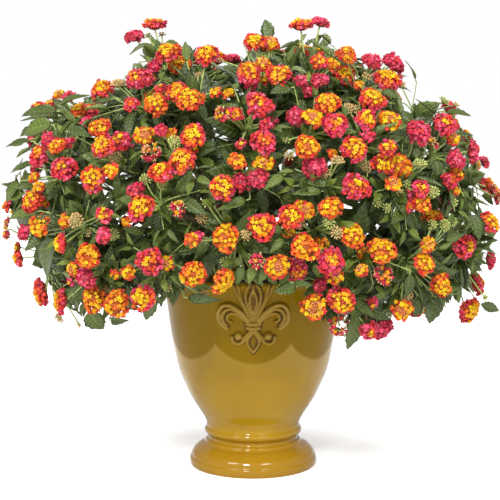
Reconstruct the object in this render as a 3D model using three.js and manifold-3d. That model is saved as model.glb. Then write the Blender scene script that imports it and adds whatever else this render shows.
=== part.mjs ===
// A lantana in an ochre glazed pot. Millimetres, +Z up, the front faces -Y.
// The plant is a dome of leafy branches that fork from one woody crown. Each shoot ends in a
// spray of flower heads. The heads of the front were placed by eye, as they show from a
// standing viewer's place, and the formulas below carry them onto the dome.
import * as THREE from 'three';
import Module from 'manifold-3d';
import { mergeVertices } from 'three/addons/utils/BufferGeometryUtils.js';

const wasm = await Module();
wasm.setup();

// ---- driving dimensions -------------------------------------------------------------------

const seatGap = 0.3;
const icosahedronInradius = 0.7947;
const viewer = new THREE.Vector3(0, -1700, 450);
const dome = { middle: 390, across: 388, deep: 352, up: 322, down: 232, spread: 55 };

const pot = { sides: 24 };
// The wall's outside from the foot up, as radius and height.
const potOutside = [
  [98.6, 0], [100, 3], [100, 8], [97.6, 15], [89, 26], [80, 33], [71.5, 41], [71.5, 47],
  [76.6, 50.5], [76.6, 58], [73, 62], [76, 73], [89, 92], [101, 111], [110, 131], [116, 143],
  [122, 162], [132, 214], [139.5, 272], [141.5, 288], [146.5, 292], [147, 297], [143, 300],
  [137, 299.4], [134, 292],
];
// The inside from the lip down to the drain hole, then the hollow under the foot.
const potInside = [[131, 270], [125, 222], [110, 155], [76, 88], [9, 72]];
// The lily is drawn where it shows on an upright plane through the pot's axis: this much of the
// drawing's size, and this much higher, puts it on the front of the bowl.
const lily = { scale: 0.92, raise: 36 };
const footHollow = [[9, 58], [52, 56], [62, 42], [88, 8], [88, 0]];

const soil = { top: 284, inset: 0.4, lift: 0.35 };
const crown = { radius: 34, height: 348, trunkRadius: 16, trunkFoot: 252, sides: 8 };
const stem = { base: 3.4, fork: 2.6, tip: 1.7, nodeHalf: 1.7, lead: 0.36, straight: 88 };
const hub = { radius: 3.6, depth: 40 };
const leaf = { perShoot: 3, enough: 2, first: 10, step: 30, length: 60, growth: 10, ratio: 0.56,
  ridge: 1.7, slant: 0.9 };
// Cuts across a blade: share of its length, of its half width, of its ridge, and its rise.
const seenCuts = [[0, 0.3, 0.7, 0], [0.36, 1, 1, 0.03], [0.74, 0.58, 0.8, 0]];
const pairedCuts = [[0, 0.3, 0.7, 0], [0.44, 1, 1, 0.03]];
const head = { stalk: 1.15, clearance: 0.45, nudge: 4, packing: 0.94, flatness: 0.6, backSpread: 1.55 };

// ---- where the heads stand ----------------------------------------------------------------

// Each head: across from the pot's axis, up from the floor, width, stage, and for a head seen
// from its side the way its crown points, across and up. Each leaf: blade foot, tip, width.
const sprays = {
  leftCrest: {
    heads: [[-158, 700, 37, 'classic', 0, 1], [-190, 681, 34, 'pink'], [-136, 655, 44, 'classic'],
      [-121, 641, 42, 'young'], [-158, 634, 24, 'pink']],
    leaves: [[-165, 668, -200, 651, 12], [-140, 670, -112, 662, 12]],
  },
  leftHigh: {
    heads: [[-183, 612, 45, 'mature'], [-170, 594, 36, 'classic'], [-243, 596, 38, 'classic'],
      [-217, 605, 20, 'bud', 0, 1], [-195, 573, 26, 'mature'], [-157, 573, 40, 'young']],
    leaves: [[-228, 580, -255, 575, 14]],
  },
  leftShoulder: {
    heads: [[-312, 588, 20, 'ring'], [-296, 586, 22, 'pink'], [-345, 567, 28, 'mature'],
      [-328, 571, 24, 'ring'], [-280, 563, 26, 'young'], [-258, 563, 34, 'mature']],
    leaves: [[-308, 570, -262, 588, 11], [-314, 560, -374, 555, 15]],
  },
  crestLeft: {
    heads: [[-103, 580, 46, 'young'], [-76, 651, 42, 'classic'], [-122, 592, 38, 'classic']],
    leaves: [[-106, 640, -109, 674, 13]],
  },
  crest: {
    heads: [[2, 672, 38, 'classic'], [28, 671, 26, 'ring'], [-9, 621, 42, 'classic'],
      [40, 619, 42, 'classic'], [15, 636, 28, 'ring']],
    leaves: [[25, 674, 18, 710, 20]],
  },
  crestRight: {
    heads: [[76, 699, 38, 'classic', 0, 1], [108, 703, 32, 'pink', 0.3, 1],
      [105, 640, 32, 'classic'], [125, 636, 24, 'young'], [107, 611, 28, 'pink'],
      [76, 610, 24, 'pink'], [88, 595, 20, 'pink']],
    leaves: [[70, 668, 36, 659, 9], [132, 642, 86, 677, 14], [103, 650, 84, 664, 14]],
  },
  rightHigh: {
    heads: [[150, 651, 34, 'young'], [151, 633, 40, 'classic'], [190, 642, 34, 'pink'],
      [223, 640, 38, 'pink'], [214, 611, 46, 'classic'], [190, 580, 44, 'classic']],
    leaves: [[228, 615, 248, 617, 9], [230, 600, 254, 592, 11], [206, 592, 234, 580, 14]],
  },
  rightUpper: {
    heads: [[216, 547, 38, 'ring'], [180, 548, 36, 'classic'], [163, 500, 47, 'classic'],
      [183, 522, 24, 'pink'], [216, 502, 30, 'classic']],
    leaves: [[176, 552, 214, 538, 18]],
  },
  centreRightUpper: {
    heads: [[118, 574, 42, 'young'], [94, 550, 36, 'ring'], [67, 553, 34, 'pink'],
      [130, 538, 45, 'mature'], [86, 503, 42, 'young']],
    leaves: [[60, 598, 25, 590, 20]],
  },
  centreUpper: {
    heads: [[-50, 558, 28, 'old'], [-30, 556, 24, 'classic'], [10, 570, 48, 'mature'],
      [20, 540, 20, 'pink']],
    leaves: [],
  },
  leftUpper: {
    heads: [[-175, 522, 34, 'ring'], [-147, 530, 22, 'pink'], [-165, 496, 34, 'old'],
      [-127, 512, 19, 'bud'], [-98, 522, 44, 'classic'], [-114, 482, 46, 'classic'],
      [-148, 464, 42, 'classic', 0, 1]],
    leaves: [[-160, 522, -136, 503, 18]],
  },
  leftOuterUpper: {
    heads: [[-247, 535, 36, 'young'], [-240, 506, 40, 'classic'], [-213, 514, 38, 'mature'],
      [-257, 453, 45, 'classic'], [-228, 466, 25, 'young']],
    leaves: [[-296, 528, -258, 520, 18]],
  },
  leftFlank: {
    heads: [[-343, 490, 40, 'mature'], [-315, 505, 30, 'young'], [-305, 469, 46, 'mature'],
      [-352, 455, 18, 'ring'], [-345, 440, 20, 'ring'], [-353, 417, 40, 'classic'],
      [-329, 517, 24, 'pink']],
    leaves: [[-324, 538, -371, 524, 32], [-356, 512, -398, 504, 11], [-352, 476, -390, 462, 13],
      [-374, 446, -398, 414, 22]],
  },
  leftLower: {
    heads: [[-343, 378, 40, 'young'], [-369, 366, 24, 'pink'], [-303, 386, 22, 'young'],
      [-285, 387, 22, 'bud'], [-308, 349, 34, 'classic', -1, 0], [-240, 395, 28, 'classic'],
      [-240, 362, 26, 'pink']],
    leaves: [[-345, 400, -394, 389, 14], [-318, 362, -333, 291, 38], [-332, 362, -366, 336, 22]],
  },
  leftFoot: {
    heads: [[-265, 330, 44, 'young'], [-270, 295, 34, 'pink'], [-290, 308, 22, 'ring'],
      [-308, 257, 40, 'classic', -1, 0], [-258, 260, 44, 'young'], [-221, 253, 46, 'young']],
    leaves: [[-262, 240, -239, 209, 32], [-228, 226, -198, 226, 13]],
  },
  leftInner: {
    heads: [[-181, 405, 46, 'classic'], [-190, 434, 30, 'pink'], [-122, 406, 26, 'old']],
    leaves: [[-144, 402, -177, 372, 14], [-133, 425, -90, 444, 20], [-112, 415, -74, 394, 18]],
  },
  leftInnerFoot: {
    heads: [[-168, 320, 46, 'mature'], [-140, 317, 24, 'ring'], [-200, 303, 24, 'young'],
      [-177, 262, 44, 'classic'], [-97, 300, 44, 'young']],
    leaves: [[-158, 274, -174, 223, 26], [-105, 262, -50, 258, 14]],
  },
  centre: {
    heads: [[-50, 438, 44, 'classic'], [-22, 446, 34, 'pink'], [8, 452, 34, 'pink'],
      [-28, 480, 28, 'young'], [15, 477, 32, 'ring'], [17, 511, 44, 'mature']],
    leaves: [[-12, 418, -62, 401, 16], [48, 458, 14, 434, 14]],
  },
  centreLower: {
    heads: [[-46, 357, 46, 'young'], [12, 376, 48, 'classic'], [-13, 363, 14, 'bud'],
      [3, 320, 24, 'old'], [37, 310, 42, 'ring'], [-100, 355, 24, 'young'],
      [-87, 360, 16, 'pink'], [-48, 290, 46, 'young', 1, 0]],
    leaves: [[-72, 355, -95, 322, 16], [-55, 345, -72, 308, 13]],
  },
  rightInner: {
    heads: [[98, 472, 40, 'pink'], [135, 482, 20, 'bud', 0, 1], [162, 439, 48, 'mature'],
      [124, 406, 38, 'young']],
    leaves: [[120, 442, 62, 452, 18], [110, 432, 58, 428, 18]],
  },
  rightInnerLower: {
    heads: [[60, 392, 42, 'classic'], [82, 403, 34, 'ring'], [120, 383, 17, 'bud'],
      [133, 367, 17, 'bud'], [160, 362, 42, 'young'], [80, 342, 46, 'young'],
      [123, 322, 46, 'mature']],
    leaves: [],
  },
  rightMiddle: {
    heads: [[206, 478, 40, 'classic'], [234, 474, 44, 'young'], [266, 478, 18, 'bud', 0, 1],
      [224, 445, 25, 'ring'], [268, 436, 30, 'mature'], [270, 414, 34, 'young'],
      [252, 425, 24, 'pink'], [286, 432, 20, 'bud']],
    leaves: [[262, 470, 244, 440, 14], [290, 482, 296, 458, 26]],
  },
  rightFlank: {
    heads: [[306, 540, 44, 'mature'], [266, 527, 46, 'pink'], [318, 518, 28, 'ring'],
      [352, 496, 38, 'mature', 1, 0], [325, 483, 34, 'pink'], [325, 464, 26, 'young']],
    leaves: [[290, 556, 259, 581, 9], [308, 558, 350, 553, 8], [256, 542, 236, 564, 12],
      [310, 468, 339, 449, 10]],
  },
  rightLower: {
    heads: [[283, 393, 38, 'young', 0, 1], [378, 384, 38, 'classic'],
      [340, 344, 44, 'mature'], [380, 324, 32, 'pink', 1, 0],
      [359, 284, 38, 'classic', 0.5, 0.6], [345, 243, 46, 'classic']],
    leaves: [[315, 409, 357, 401, 12], [346, 396, 362, 354, 32], [262, 392, 216, 384, 14],
      [364, 252, 395, 240, 17]],
  },
  rightInnerFoot: {
    heads: [[205, 338, 46, 'young'], [208, 297, 32, 'old'], [172, 307, 24, 'ring', -0.6, 0.6]],
    leaves: [[250, 300, 244, 262, 16]],
  },
  rightFoot: {
    heads: [[280, 347, 26, 'ring'], [273, 315, 36, 'young'], [301, 283, 38, 'young'],
      [237, 242, 38, 'ring']],
    leaves: [[286, 264, 282, 219, 27], [262, 262, 258, 229, 15]],
  },
  frontFoot: {
    heads: [[140, 257, 48, 'classic'], [98, 247, 44, 'ring'], [138, 217, 36, 'old'],
      [185, 210, 34, 'mature'], [205, 212, 42, 'pink'], [130, 300, 32, 'ring']],
    leaves: [[165, 238, 150, 175, 25], [68, 280, 30, 272, 17], [64, 286, 96, 282, 9]],
  },
};

// The sprays on top, out of sight behind the crest. Each head: across, back, width, stage. They
// lie lower than the dome by their sink.
const topSprays = {
  topLeft: {
    sink: 66,
    heads: [[-58, -66, 38, 'classic'], [-118, -34, 36, 'young'], [-156, 40, 40, 'mature'],
      [-92, 24, 42, 'classic'], [-36, 4, 34, 'pink'], [-64, 92, 38, 'young'],
      [-132, 104, 36, 'classic']],
  },
  topRight: {
    sink: 50,
    heads: [[22, -52, 38, 'young'], [78, -88, 36, 'mature'], [132, -56, 40, 'classic'],
      [164, 24, 36, 'pink'], [94, 4, 44, 'classic'], [34, 48, 40, 'mature'],
      [108, 86, 38, 'young']],
  },
};

// The shoots that fork from one branch, on the front as they show.
const frontBranches = [
  ['leftHigh', 'leftCrest', 'crestLeft'], ['leftOuterUpper', 'leftShoulder'],
  ['leftFlank', 'leftLower', 'leftFoot'], ['leftUpper', 'leftInner', 'leftInnerFoot'],
  ['centreUpper', 'crest', 'crestRight'], ['centreRightUpper', 'rightUpper', 'rightHigh'],
  ['rightMiddle', 'rightFlank'], ['rightLower', 'rightFoot'], ['rightInnerFoot', 'frontFoot'],
  ['centre', 'centreLower', 'rightInnerLower', 'rightInner'],
];
// The sides and the back repeat shoots of the front, turned round the pot by these degrees.
const backBranches = [
  [['centre', 96], ['leftInnerFoot', 134], ['crestLeft', 118], ['leftUpper', 153]],
  [['rightInner', 158], ['frontFoot', 138], ['leftHigh', 194], ['topRight', 0]],
  [['rightMiddle', 179], ['rightFoot', 161], ['crest', 222], ['leftLower', 280]],
  [['leftInner', 288], ['centreRightUpper', 246], ['leftFoot', 310], ['topLeft', 0]],
];
const stagesOfTheBack = ['classic', 'pink', 'young', 'mature', 'ring', 'classic', 'old', 'young'];

const finishes = {
  glaze: { color: 0xb08a2c, roughness: 0.18 },
  earth: { color: 0x33241a, roughness: 0.95 },
  bark: { color: 0x6f5b3e, roughness: 0.85 },
  foliage: { color: 0x3f6a2a, roughness: 0.6 },
  petals_yellow: { color: 0xf7b51e, roughness: 0.6 },
  petals_orange: { color: 0xee6a2a, roughness: 0.6 },
  petals_coral: { color: 0xe24a44, roughness: 0.6 },
  petals_magenta: { color: 0xc92358, roughness: 0.6 },
};
const finishOfStage = {
  young: 'petals_yellow', ring: 'petals_yellow', classic: 'petals_orange', bud: 'petals_orange',
  mature: 'petals_coral', old: 'petals_coral', pink: 'petals_magenta',
};

// ---- closed bodies made of loops ----------------------------------------------------------

class Body {
  points = [];

  faces = [];

  loop(places) {
    return places.map((place) => this.points.push(place.clone()) - 1);
  }

  // The directions of a loop's corners from its middle.
  looks(loop) {
    const places = loop.map((corner) => this.points[corner]);
    const middle = middleOf(places);
    return places.map((place) => place.clone().sub(middle).normalize());
  }

  // The total length of the slanting edges from each corner of a loop to the next one of another.
  slants(from, to) {
    return from.reduce((sum, corner, i) => sum
      + this.points[corner].distanceTo(this.points[to[(i + 1) % to.length]]), 0);
  }

  // Joins two loops that turn the same way, from the corners that look alike from their middles.
  bridge(from, to) {
    const looksFrom = this.looks(from);
    const looksTo = this.looks(to);
    const likeness = to.map((_, first) => looksFrom.reduce((sum, look, i) => sum
      + look.dot(looksTo[(first + Math.round(i * to.length / from.length)) % to.length]), 0));
    const start = likeness.indexOf(Math.max(...likeness));
    const ring = [...to.slice(start), ...to.slice(0, start)];
    const lead = this.slants(ring, from) < this.slants(from, ring) ? 0.1 : 0;
    let i = 0;
    let j = 0;
    while (i < from.length || j < ring.length) {
      const near = from[i % from.length];
      const far = ring[j % ring.length];
      if ((i + 0.5 - lead) / from.length < (j + 0.5) / ring.length) {
        i += 1;
        this.faces.push([near, from[i % from.length], far]);
      } else {
        j += 1;
        this.faces.push([near, ring[j % ring.length], far]);
      }
    }
  }

  peak(loop, place) {
    const [apex] = this.loop([place]);
    loop.forEach((corner, i) => this.faces.push([corner, loop[(i + 1) % loop.length], apex]));
  }

  closeStart(loop) {
    for (let i = 1; i < loop.length - 1; i += 1) this.faces.push([loop[0], loop[i + 1], loop[i]]);
  }

  closeEnd(loop) {
    for (let i = 1; i < loop.length - 1; i += 1) this.faces.push([loop[0], loop[i], loop[i + 1]]);
  }

  solid() {
    const vertProperties = new Float32Array(this.points.flatMap((p) => [p.x, p.y, p.z]));
    const triVerts = new Uint32Array(this.faces.flat());
    return new wasm.Manifold(new wasm.Mesh({ numProp: 3, vertProperties, triVerts }));
  }

  geometry() {
    const geometry = new THREE.BufferGeometry();
    geometry.setAttribute('position',
      new THREE.Float32BufferAttribute(this.points.flatMap((p) => [p.x, p.y, p.z]), 3));
    geometry.setIndex(this.faces.flat());
    return geometry;
  }
}

// A three.js geometry as a body with shared corners.
function bodyFrom(geometry) {
  geometry.deleteAttribute('normal');
  geometry.deleteAttribute('uv');
  const merged = mergeVertices(geometry);
  const body = new Body();
  const place = new THREE.Vector3();
  for (let i = 0; i < merged.attributes.position.count; i += 1) {
    body.loop([place.fromBufferAttribute(merged.attributes.position, i)]);
  }
  const index = [...merged.index.array];
  for (let i = 0; i < index.length; i += 3) {
    const face = index.slice(i, i + 3);
    if (new Set(face).size === 3) body.faces.push(face);
  }
  return body;
}

function geometryFrom(solid) {
  const mesh = solid.getMesh();
  const geometry = new THREE.BufferGeometry();
  geometry.setAttribute('position', new THREE.Float32BufferAttribute(mesh.vertProperties, 3));
  geometry.setIndex([...mesh.triVerts]);
  return geometry;
}

const between = (a, b, share) => a.clone().lerp(b, share);
const along = (place, direction, reach) => place.clone().addScaledVector(direction, reach);
const middleOf = (places) => places
  .reduce((sum, place) => sum.add(place), new THREE.Vector3()).divideScalar(places.length);

// A direction turned square to an axis.
function squareTo(axis, direction) {
  return direction.clone().addScaledVector(axis, -direction.dot(axis)).normalize();
}

// ---- pot, soil and crown ------------------------------------------------------------------

function turned(profile, sides) {
  const points = profile.map(([radius, height]) => new THREE.Vector2(radius, height));
  return bodyFrom(new THREE.LatheGeometry(points, sides).rotateX(Math.PI / 2));
}

function radiusAt(profile, height) {
  const next = profile.findIndex(([, level]) => level > height);
  const [[r0, z0], [r1, z1]] = [profile[next - 1], profile[next]];
  return r0 + (r1 - r0) * (height - z0) / (z1 - z0);
}

function onBowl(across, up, lift) {
  const z = lily.raise + lily.scale * up;
  const radius = radiusAt(potOutside, z);
  const angle = lily.scale * across / radius;
  return new THREE.Vector3((radius + lift) * Math.sin(angle), -(radius + lift) * Math.cos(angle), z);
}

// A raised strand laid on the bowl. Each station is x, z, half width and lift.
function strand(stations) {
  const sunk = -3;
  const body = new Body();
  const loops = stations.map(([x, z, half, lift], i) => {
    const [x0, z0] = stations[Math.max(i - 1, 0)];
    const [x1, z1] = stations[Math.min(i + 1, stations.length - 1)];
    const run = Math.hypot(x1 - x0, z1 - z0);
    const side = [(z1 - z0) / run, -(x1 - x0) / run];
    const corner = (share, height) => onBowl(x + side[0] * half * share, z + side[1] * half * share,
      height);
    return body.loop([corner(-0.45, lift), corner(0.45, lift), corner(1, sunk), corner(-1, sunk)]);
  });
  loops.slice(1).forEach((loop, i) => body.bridge(loops[i], loop));
  body.closeStart(loops[0]);
  body.closeEnd(loops.at(-1));
  return body.solid();
}

// A scroll from the tie of the lily, round its own middle, with side -1 or 1.
function scroll(side, start, middle, radii, turns, width, lift) {
  const steps = 5;
  const stations = [[side * start[0], start[1], width * 0.7, lift * 0.8]];
  for (let i = 0; i <= steps; i += 1) {
    const share = i / steps;
    const angle = THREE.MathUtils.degToRad(turns[0] + (turns[1] - turns[0]) * share);
    const radius = radii[0] + (radii[1] - radii[0]) * share;
    stations.push([side * (middle[0] + radius * Math.cos(angle)),
      middle[1] + radius * Math.sin(angle), width * (1 - 0.35 * share), lift]);
  }
  return strand(stations);
}

function lilyParts() {
  const parts = [
    strand([[0, 225, 9, 2.4], [0, 240, 12, 2.4], [0, 258, 18, 2.4], [0, 284, 27, 2.4]]),
    strand([[0, 209, 4, 3], [0, 197, 10, 4], [0, 189, 9, 4], [0, 173, 1.5, 2]]),
    strand([[-10, 217, 6, 5.5], [10, 217, 6, 5.5]]),
    strand([[0, 226, 3, 5], [0, 262, 6, 5.5], [0, 285, 4, 4]]),
  ];
  [-1, 1].forEach((side) => {
    parts.push(scroll(side, [7, 219], [38, 231], [18, 6], [155, -190], 5, 5));
    parts.push(scroll(side, [6, 206], [23, 199], [13, 12], [205, 385], 4, 4));
    parts.push(strand([[side * 5, 226, 2.5, 5], [side * 12, 256, 3, 5], [side * 21, 284, 3.5, 4.5]]));
    const boss = new THREE.IcosahedronGeometry(6.3, 0);
    parts.push(bodyFrom(boss.translate(...onBowl(side * 23, 201, -0.5))).solid());
  });
  return parts;
}

function makePot() {
  const outline = [...potOutside, ...potInside, ...footHollow];
  const wall = turned([...outline, outline[0]], pot.sides).solid();
  return lilyParts().reduce((solid, part) => solid.add(part), wall);
}

// The soil follows the pot's inside at the seat gap. Its trunk hole is a plain one.
function makeSoil() {
  const rim = radiusAt([potInside[0], potOutside.at(-1)], soil.top);
  const profile = [[0, potInside.at(-1)[1] + soil.lift],
    ...potInside.slice(0, -1).reverse()
      .map(([radius, height]) => [radius - soil.inset, height + soil.lift]),
    [rim - soil.inset, soil.top], [0, soil.top]];
  const depth = soil.top - crown.trunkFoot + seatGap;
  const hole = trunkPrism(crown.trunkRadius + seatGap / Math.cos(Math.PI / crown.sides),
    crown.trunkFoot - seatGap, depth * 2);
  return turned(profile, pot.sides).solid().subtract(hole);
}

function trunkPrism(radius, foot, length) {
  const prism = new THREE.CylinderGeometry(radius, radius, length, crown.sides);
  return bodyFrom(prism.rotateX(Math.PI / 2).translate(0, 0, foot + length / 2)).solid();
}

const crownBall = bodyFrom(new THREE.IcosahedronGeometry(crown.radius, 1)
  .translate(0, 0, crown.height));

function makeCrown() {
  const trunk = trunkPrism(crown.trunkRadius, crown.trunkFoot, crown.height - crown.trunkFoot);
  return crownBall.solid().add(trunk);
}

// ---- from the front view onto the dome ----------------------------------------------------

function domeReach(place) {
  const rise = place.z - dome.middle;
  return (place.x / dome.across) ** 2 + (rise / (rise > 0 ? dome.up : dome.down)) ** 2;
}

function domeNormal(place) {
  const rise = place.z - dome.middle;
  const height = rise > 0 ? dome.up : dome.down;
  return new THREE.Vector3(place.x / dome.across ** 2, place.y / dome.deep ** 2,
    rise / height ** 2).normalize();
}

// A point of the view, across and up in the pot's own plane, at a distance behind that plane.
function sighted(across, up, behind) {
  const share = (behind - viewer.y) / -viewer.y;
  return new THREE.Vector3(across, 0, up).sub(viewer).multiplyScalar(share).add(viewer);
}

// The distance behind the pot's plane at which the line of sight meets the dome.
function domeDepth(across, up) {
  let behind = 0;
  for (let i = 0; i < 12; i += 1) {
    const inside = 1 - domeReach(sighted(across, up, behind));
    behind = -dome.deep * Math.sqrt(Math.max(0, inside));
  }
  return behind;
}

function headAxis(place, pointing) {
  if (pointing) return new THREE.Vector3(pointing[0], -0.2, pointing[1]).normalize();
  const toViewer = viewer.clone().sub(place).normalize();
  return domeNormal(place).multiplyScalar(0.6).addScaledVector(toViewer, 0.35)
    .add(new THREE.Vector3(0, 0, 0.25)).normalize();
}

// Two heads are too close when one reaches into the other's flattened round.
function crowds(one, other) {
  const gap = other.centre.clone().sub(one.centre);
  const axis = one.axis.clone().add(other.axis).normalize();
  const rise = gap.dot(axis);
  const reach = one.radius + other.radius;
  const aside = Math.sqrt(Math.max(0, gap.lengthSq() - rise * rise));
  return (aside / (head.packing * reach)) ** 2 + (rise / (head.flatness * reach)) ** 2 < 1;
}

// The depths of a spray's heads stay near their mean, where the dome curves away from view.
function sprayDepths(heads) {
  const depths = heads.map(([across, up]) => domeDepth(across, up));
  const mean = depths.reduce((sum, depth) => sum + depth, 0) / depths.length;
  return { mean, depths: depths.map((depth) => near(depth, mean, dome.spread)) };
}

const near = (value, middle, room) => THREE.MathUtils.clamp(value, middle - room, middle + room);

function placeHeads(placed) {
  const bySpray = {};
  Object.entries(sprays).forEach(([name, spray]) => {
    const { depths } = sprayDepths(spray.heads);
    bySpray[name] = spray.heads.map(([across, up, width, stage, ...pointing], i) => {
      let behind = depths[i];
      let made;
      do {
        const centre = sighted(across, up, behind);
        const radius = width / 2 * (behind - viewer.y) / -viewer.y;
        made = { centre, radius, stage, axis: headAxis(centre, pointing.length ? pointing : null) };
        behind += head.nudge;
      } while (placed.some((other) => crowds(made, other)));
      placed.push(made);
      return made;
    });
  });
  return bySpray;
}

// A place carried round the dome by an angle.
function carriedRound(place, angle) {
  const [x, y] = [place.x / dome.across, -place.y / dome.deep];
  return new THREE.Vector3(dome.across * (x * Math.cos(angle) + y * Math.sin(angle)),
    dome.deep * (x * Math.sin(angle) - y * Math.cos(angle)), place.z);
}

function placeTopHeads(placed) {
  return Object.fromEntries(Object.entries(topSprays).map(([name, { sink, heads }]) => [name,
    heads.map(([across, back, width, stage]) => {
      const spread = (across / dome.across) ** 2 + (back / dome.deep) ** 2;
      const centre = new THREE.Vector3(across, back,
        dome.middle - sink + dome.up * Math.sqrt(1 - spread));
      const axis = domeNormal(centre).add(new THREE.Vector3(0, 0, 0.5)).normalize();
      const made = { centre, radius: width / 2, stage, axis, lobes: 4 };
      placed.push(made);
      return made;
    })]));
}

// The place where the ray from the dome's middle through a place leaves the dome.
function ontoDome(place) {
  const middle = new THREE.Vector3(0, 0, dome.middle);
  const share = Math.sqrt(domeReach(place) + (place.y / dome.deep) ** 2);
  return place.clone().sub(middle).divideScalar(share).add(middle);
}

// The heads of a front spray carried round the dome and spread wider there.
function turnHeads(heads, angle, placed) {
  const middle = middleOf(heads.map((made) => made.centre));
  return heads.map((made, i) => {
    const centre = ontoDome(carriedRound(between(middle, made.centre, head.backSpread), angle));
    const stage = made.stage === 'bud' ? 'bud' : stagesOfTheBack[(i + heads.length) % 8];
    const axis = made.axis.clone().applyAxisAngle(new THREE.Vector3(0, 0, 1), angle)
      .addScaledVector(domeNormal(centre), 0.6).normalize();
    const turnedHead = { ...made, centre, stage, axis, lobes: 4 };
    while (placed.some((other) => crowds(turnedHead, other))) {
      centre.addScaledVector(domeNormal(centre), -head.nudge);
    }
    placed.push(turnedHead);
    return turnedHead;
  });
}

// ---- room between the pieces --------------------------------------------------------------

const taken = [];

function boxOf(body) {
  return new THREE.Box3().setFromPoints(body.points).expandByScalar(head.clearance / 2);
}

function take(body, owner) {
  taken.push({ solid: body.solid(), box: boxOf(body), owner });
}

function isFree(body, except = []) {
  const box = boxOf(body);
  const near = taken.filter((item) => !except.includes(item.owner) && item.box.intersectsBox(box));
  if (!near.length) return true;
  const solid = body.solid();
  return near.every((item) => solid.minGap(item.solid, head.clearance * 2) >= head.clearance);
}

// ---- stems --------------------------------------------------------------------------------

// The four corners of a stem's square section at a distance along it.
function section(shoot, reach) {
  const share = Math.min(1, reach / shoot.length);
  const place = shoot.curve.getPointAt(share);
  const run = shoot.curve.getTangentAt(share);
  const a = squareTo(run, shoot.facing);
  const b = run.clone().cross(a);
  const half = THREE.MathUtils.lerp(shoot.thick, stem.tip, share);
  return [[1, -1], [1, 1], [-1, 1], [-1, -1]]
    .map(([x, y]) => along(along(place, a, x * half), b, y * half));
}

const sideOf = (low, high, side) => [low[side], low[(side + 1) % 4], high[(side + 1) % 4],
  high[side]];

// The outer side of a stem's node that a leaf or a fork grows from.
function growthSide(shoot, node, side) {
  const corners = sideOf(section(shoot, node.reach - node.half),
    section(shoot, node.reach + node.half), side);
  const middle = middleOf(corners);
  return { corners, middle, out: middle.clone().sub(shoot.curve.getPointAt(node.reach / shoot.length))
    .normalize() };
}

function growStem(body, shoot, base) {
  let last = base;
  const stops = [...shoot.nodes, ...shoot.bends.map((reach) => ({ reach }))];
  stops.sort((a, b) => a.reach - b.reach).forEach((node) => {
    if (!node.growths) {
      const bend = body.loop(section(shoot, node.reach));
      body.bridge(last, bend);
      last = bend;
      return;
    }
    const low = body.loop(section(shoot, node.reach - node.half));
    const high = body.loop(section(shoot, node.reach + node.half));
    body.bridge(last, low);
    node.growths.forEach((growth, side) => {
      const corners = sideOf(low, high, side);
      if (growth) growth(body, corners);
      else body.closeEnd(corners);
    });
    last = high;
  });
  const end = body.loop(section(shoot, shoot.length));
  body.bridge(last, end);
  body.closeEnd(end);
}

function bareStem(shoot, from) {
  const body = new Body();
  const steps = Math.ceil((shoot.length - from) / 22);
  const loops = Array.from({ length: steps + 1 },
    (_, i) => body.loop(section(shoot, from + (shoot.length - from) * i / steps)));
  body.closeStart(loops[0]);
  loops.slice(1).forEach((loop, i) => body.bridge(loops[i], loop));
  body.closeEnd(loops.at(-1));
  return body;
}

// A stem from a place and a way out, up to the seat gap under the hub of its spray. The first
// of the sideways bows that keeps clear of the other stems is taken.
function layStem(spray, start, out, thick, lead) {
  const chord = spray.hub.clone().sub(start);
  const aside = chord.clone().cross(new THREE.Vector3(0, 0, 1)).normalize();
  const arrival = spray.outward.clone().multiplyScalar(0.8)
    .addScaledVector(chord.clone().normalize(), 0.5).normalize();
  const reach = chord.length() * stem.lead;
  const shoots = [0, 12, -12, 24, -24, 38, -38, 52, -52].map((shift) => {
    const guide = along(along(spray.hub, arrival, -reach), aside, shift);
    const run = spray.hub.clone().sub(guide).normalize();
    const end = along(spray.hub, run, -hub.radius * icosahedronInradius - seatGap);
    const curve = new THREE.CubicBezierCurve3(start, along(start, out, reach), guide, end);
    return { curve, length: curve.getLength(), facing: aside, thick, nodes: [], bends: [], run,
      owner: spray.name, seenLeaves: spray.leaves.length };
  });
  const found = shoots.find((shoot) => isFree(bareStem(shoot, lead), ['crown', spray.name]));
  const shoot = found ?? shoots[0];
  spray.run = shoot.run;
  take(bareStem(shoot, lead), spray.name);
  return shoot;
}

const makeNode = (reach, half) => ({ reach, half, growths: [null, null, null, null] });

// The side of a node that looks most towards a place.
function sideTowards(shoot, node, place) {
  const looks = [0, 1, 2, 3].map((side) => {
    const { middle, out } = growthSide(shoot, node, side);
    return node.growths[side] ? -2 : out.dot(place.clone().sub(middle).normalize());
  });
  return looks.indexOf(Math.max(...looks));
}

function addLeafNodes(shoot, from) {
  const count = shoot.seenLeaves > leaf.enough ? leaf.perShoot - 1 : leaf.perShoot;
  for (let i = 0; i < count; i += 1) {
    const reach = shoot.length - leaf.first - leaf.step * i;
    if (reach > from) shoot.nodes.push({ ...makeNode(reach, stem.nodeHalf), order: i });
  }
}

// ---- leaves -------------------------------------------------------------------------------

// A blade as its cuts and a tip, each cut as its ridge, right edge and left edge.
function blade(foot, direction, upper, length, width, cuts) {
  const normal = squareTo(direction, upper);
  const right = direction.clone().cross(normal);
  const loops = cuts.map(([share, spread, thick, rise]) => {
    const place = along(along(foot, direction, length * share), normal, length * rise);
    const half = width / 2 * spread;
    const drop = leaf.ridge * thick;
    return [along(place, normal, drop / 2), along(along(place, right, half), normal, -drop / 2),
      along(along(place, right, -half), normal, -drop / 2)];
  });
  const tip = along(along(foot, direction, length), normal, -0.09 * length);
  return { loops, tip, stalk: null };
}

function growLeaf(body, base, made) {
  let last = base;
  [...(made.stalk ? [made.stalk] : []), ...made.loops].forEach((places) => {
    const loop = body.loop(places);
    body.bridge(last, loop);
    last = loop;
  });
  body.peak(last, made.tip);
}

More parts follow.
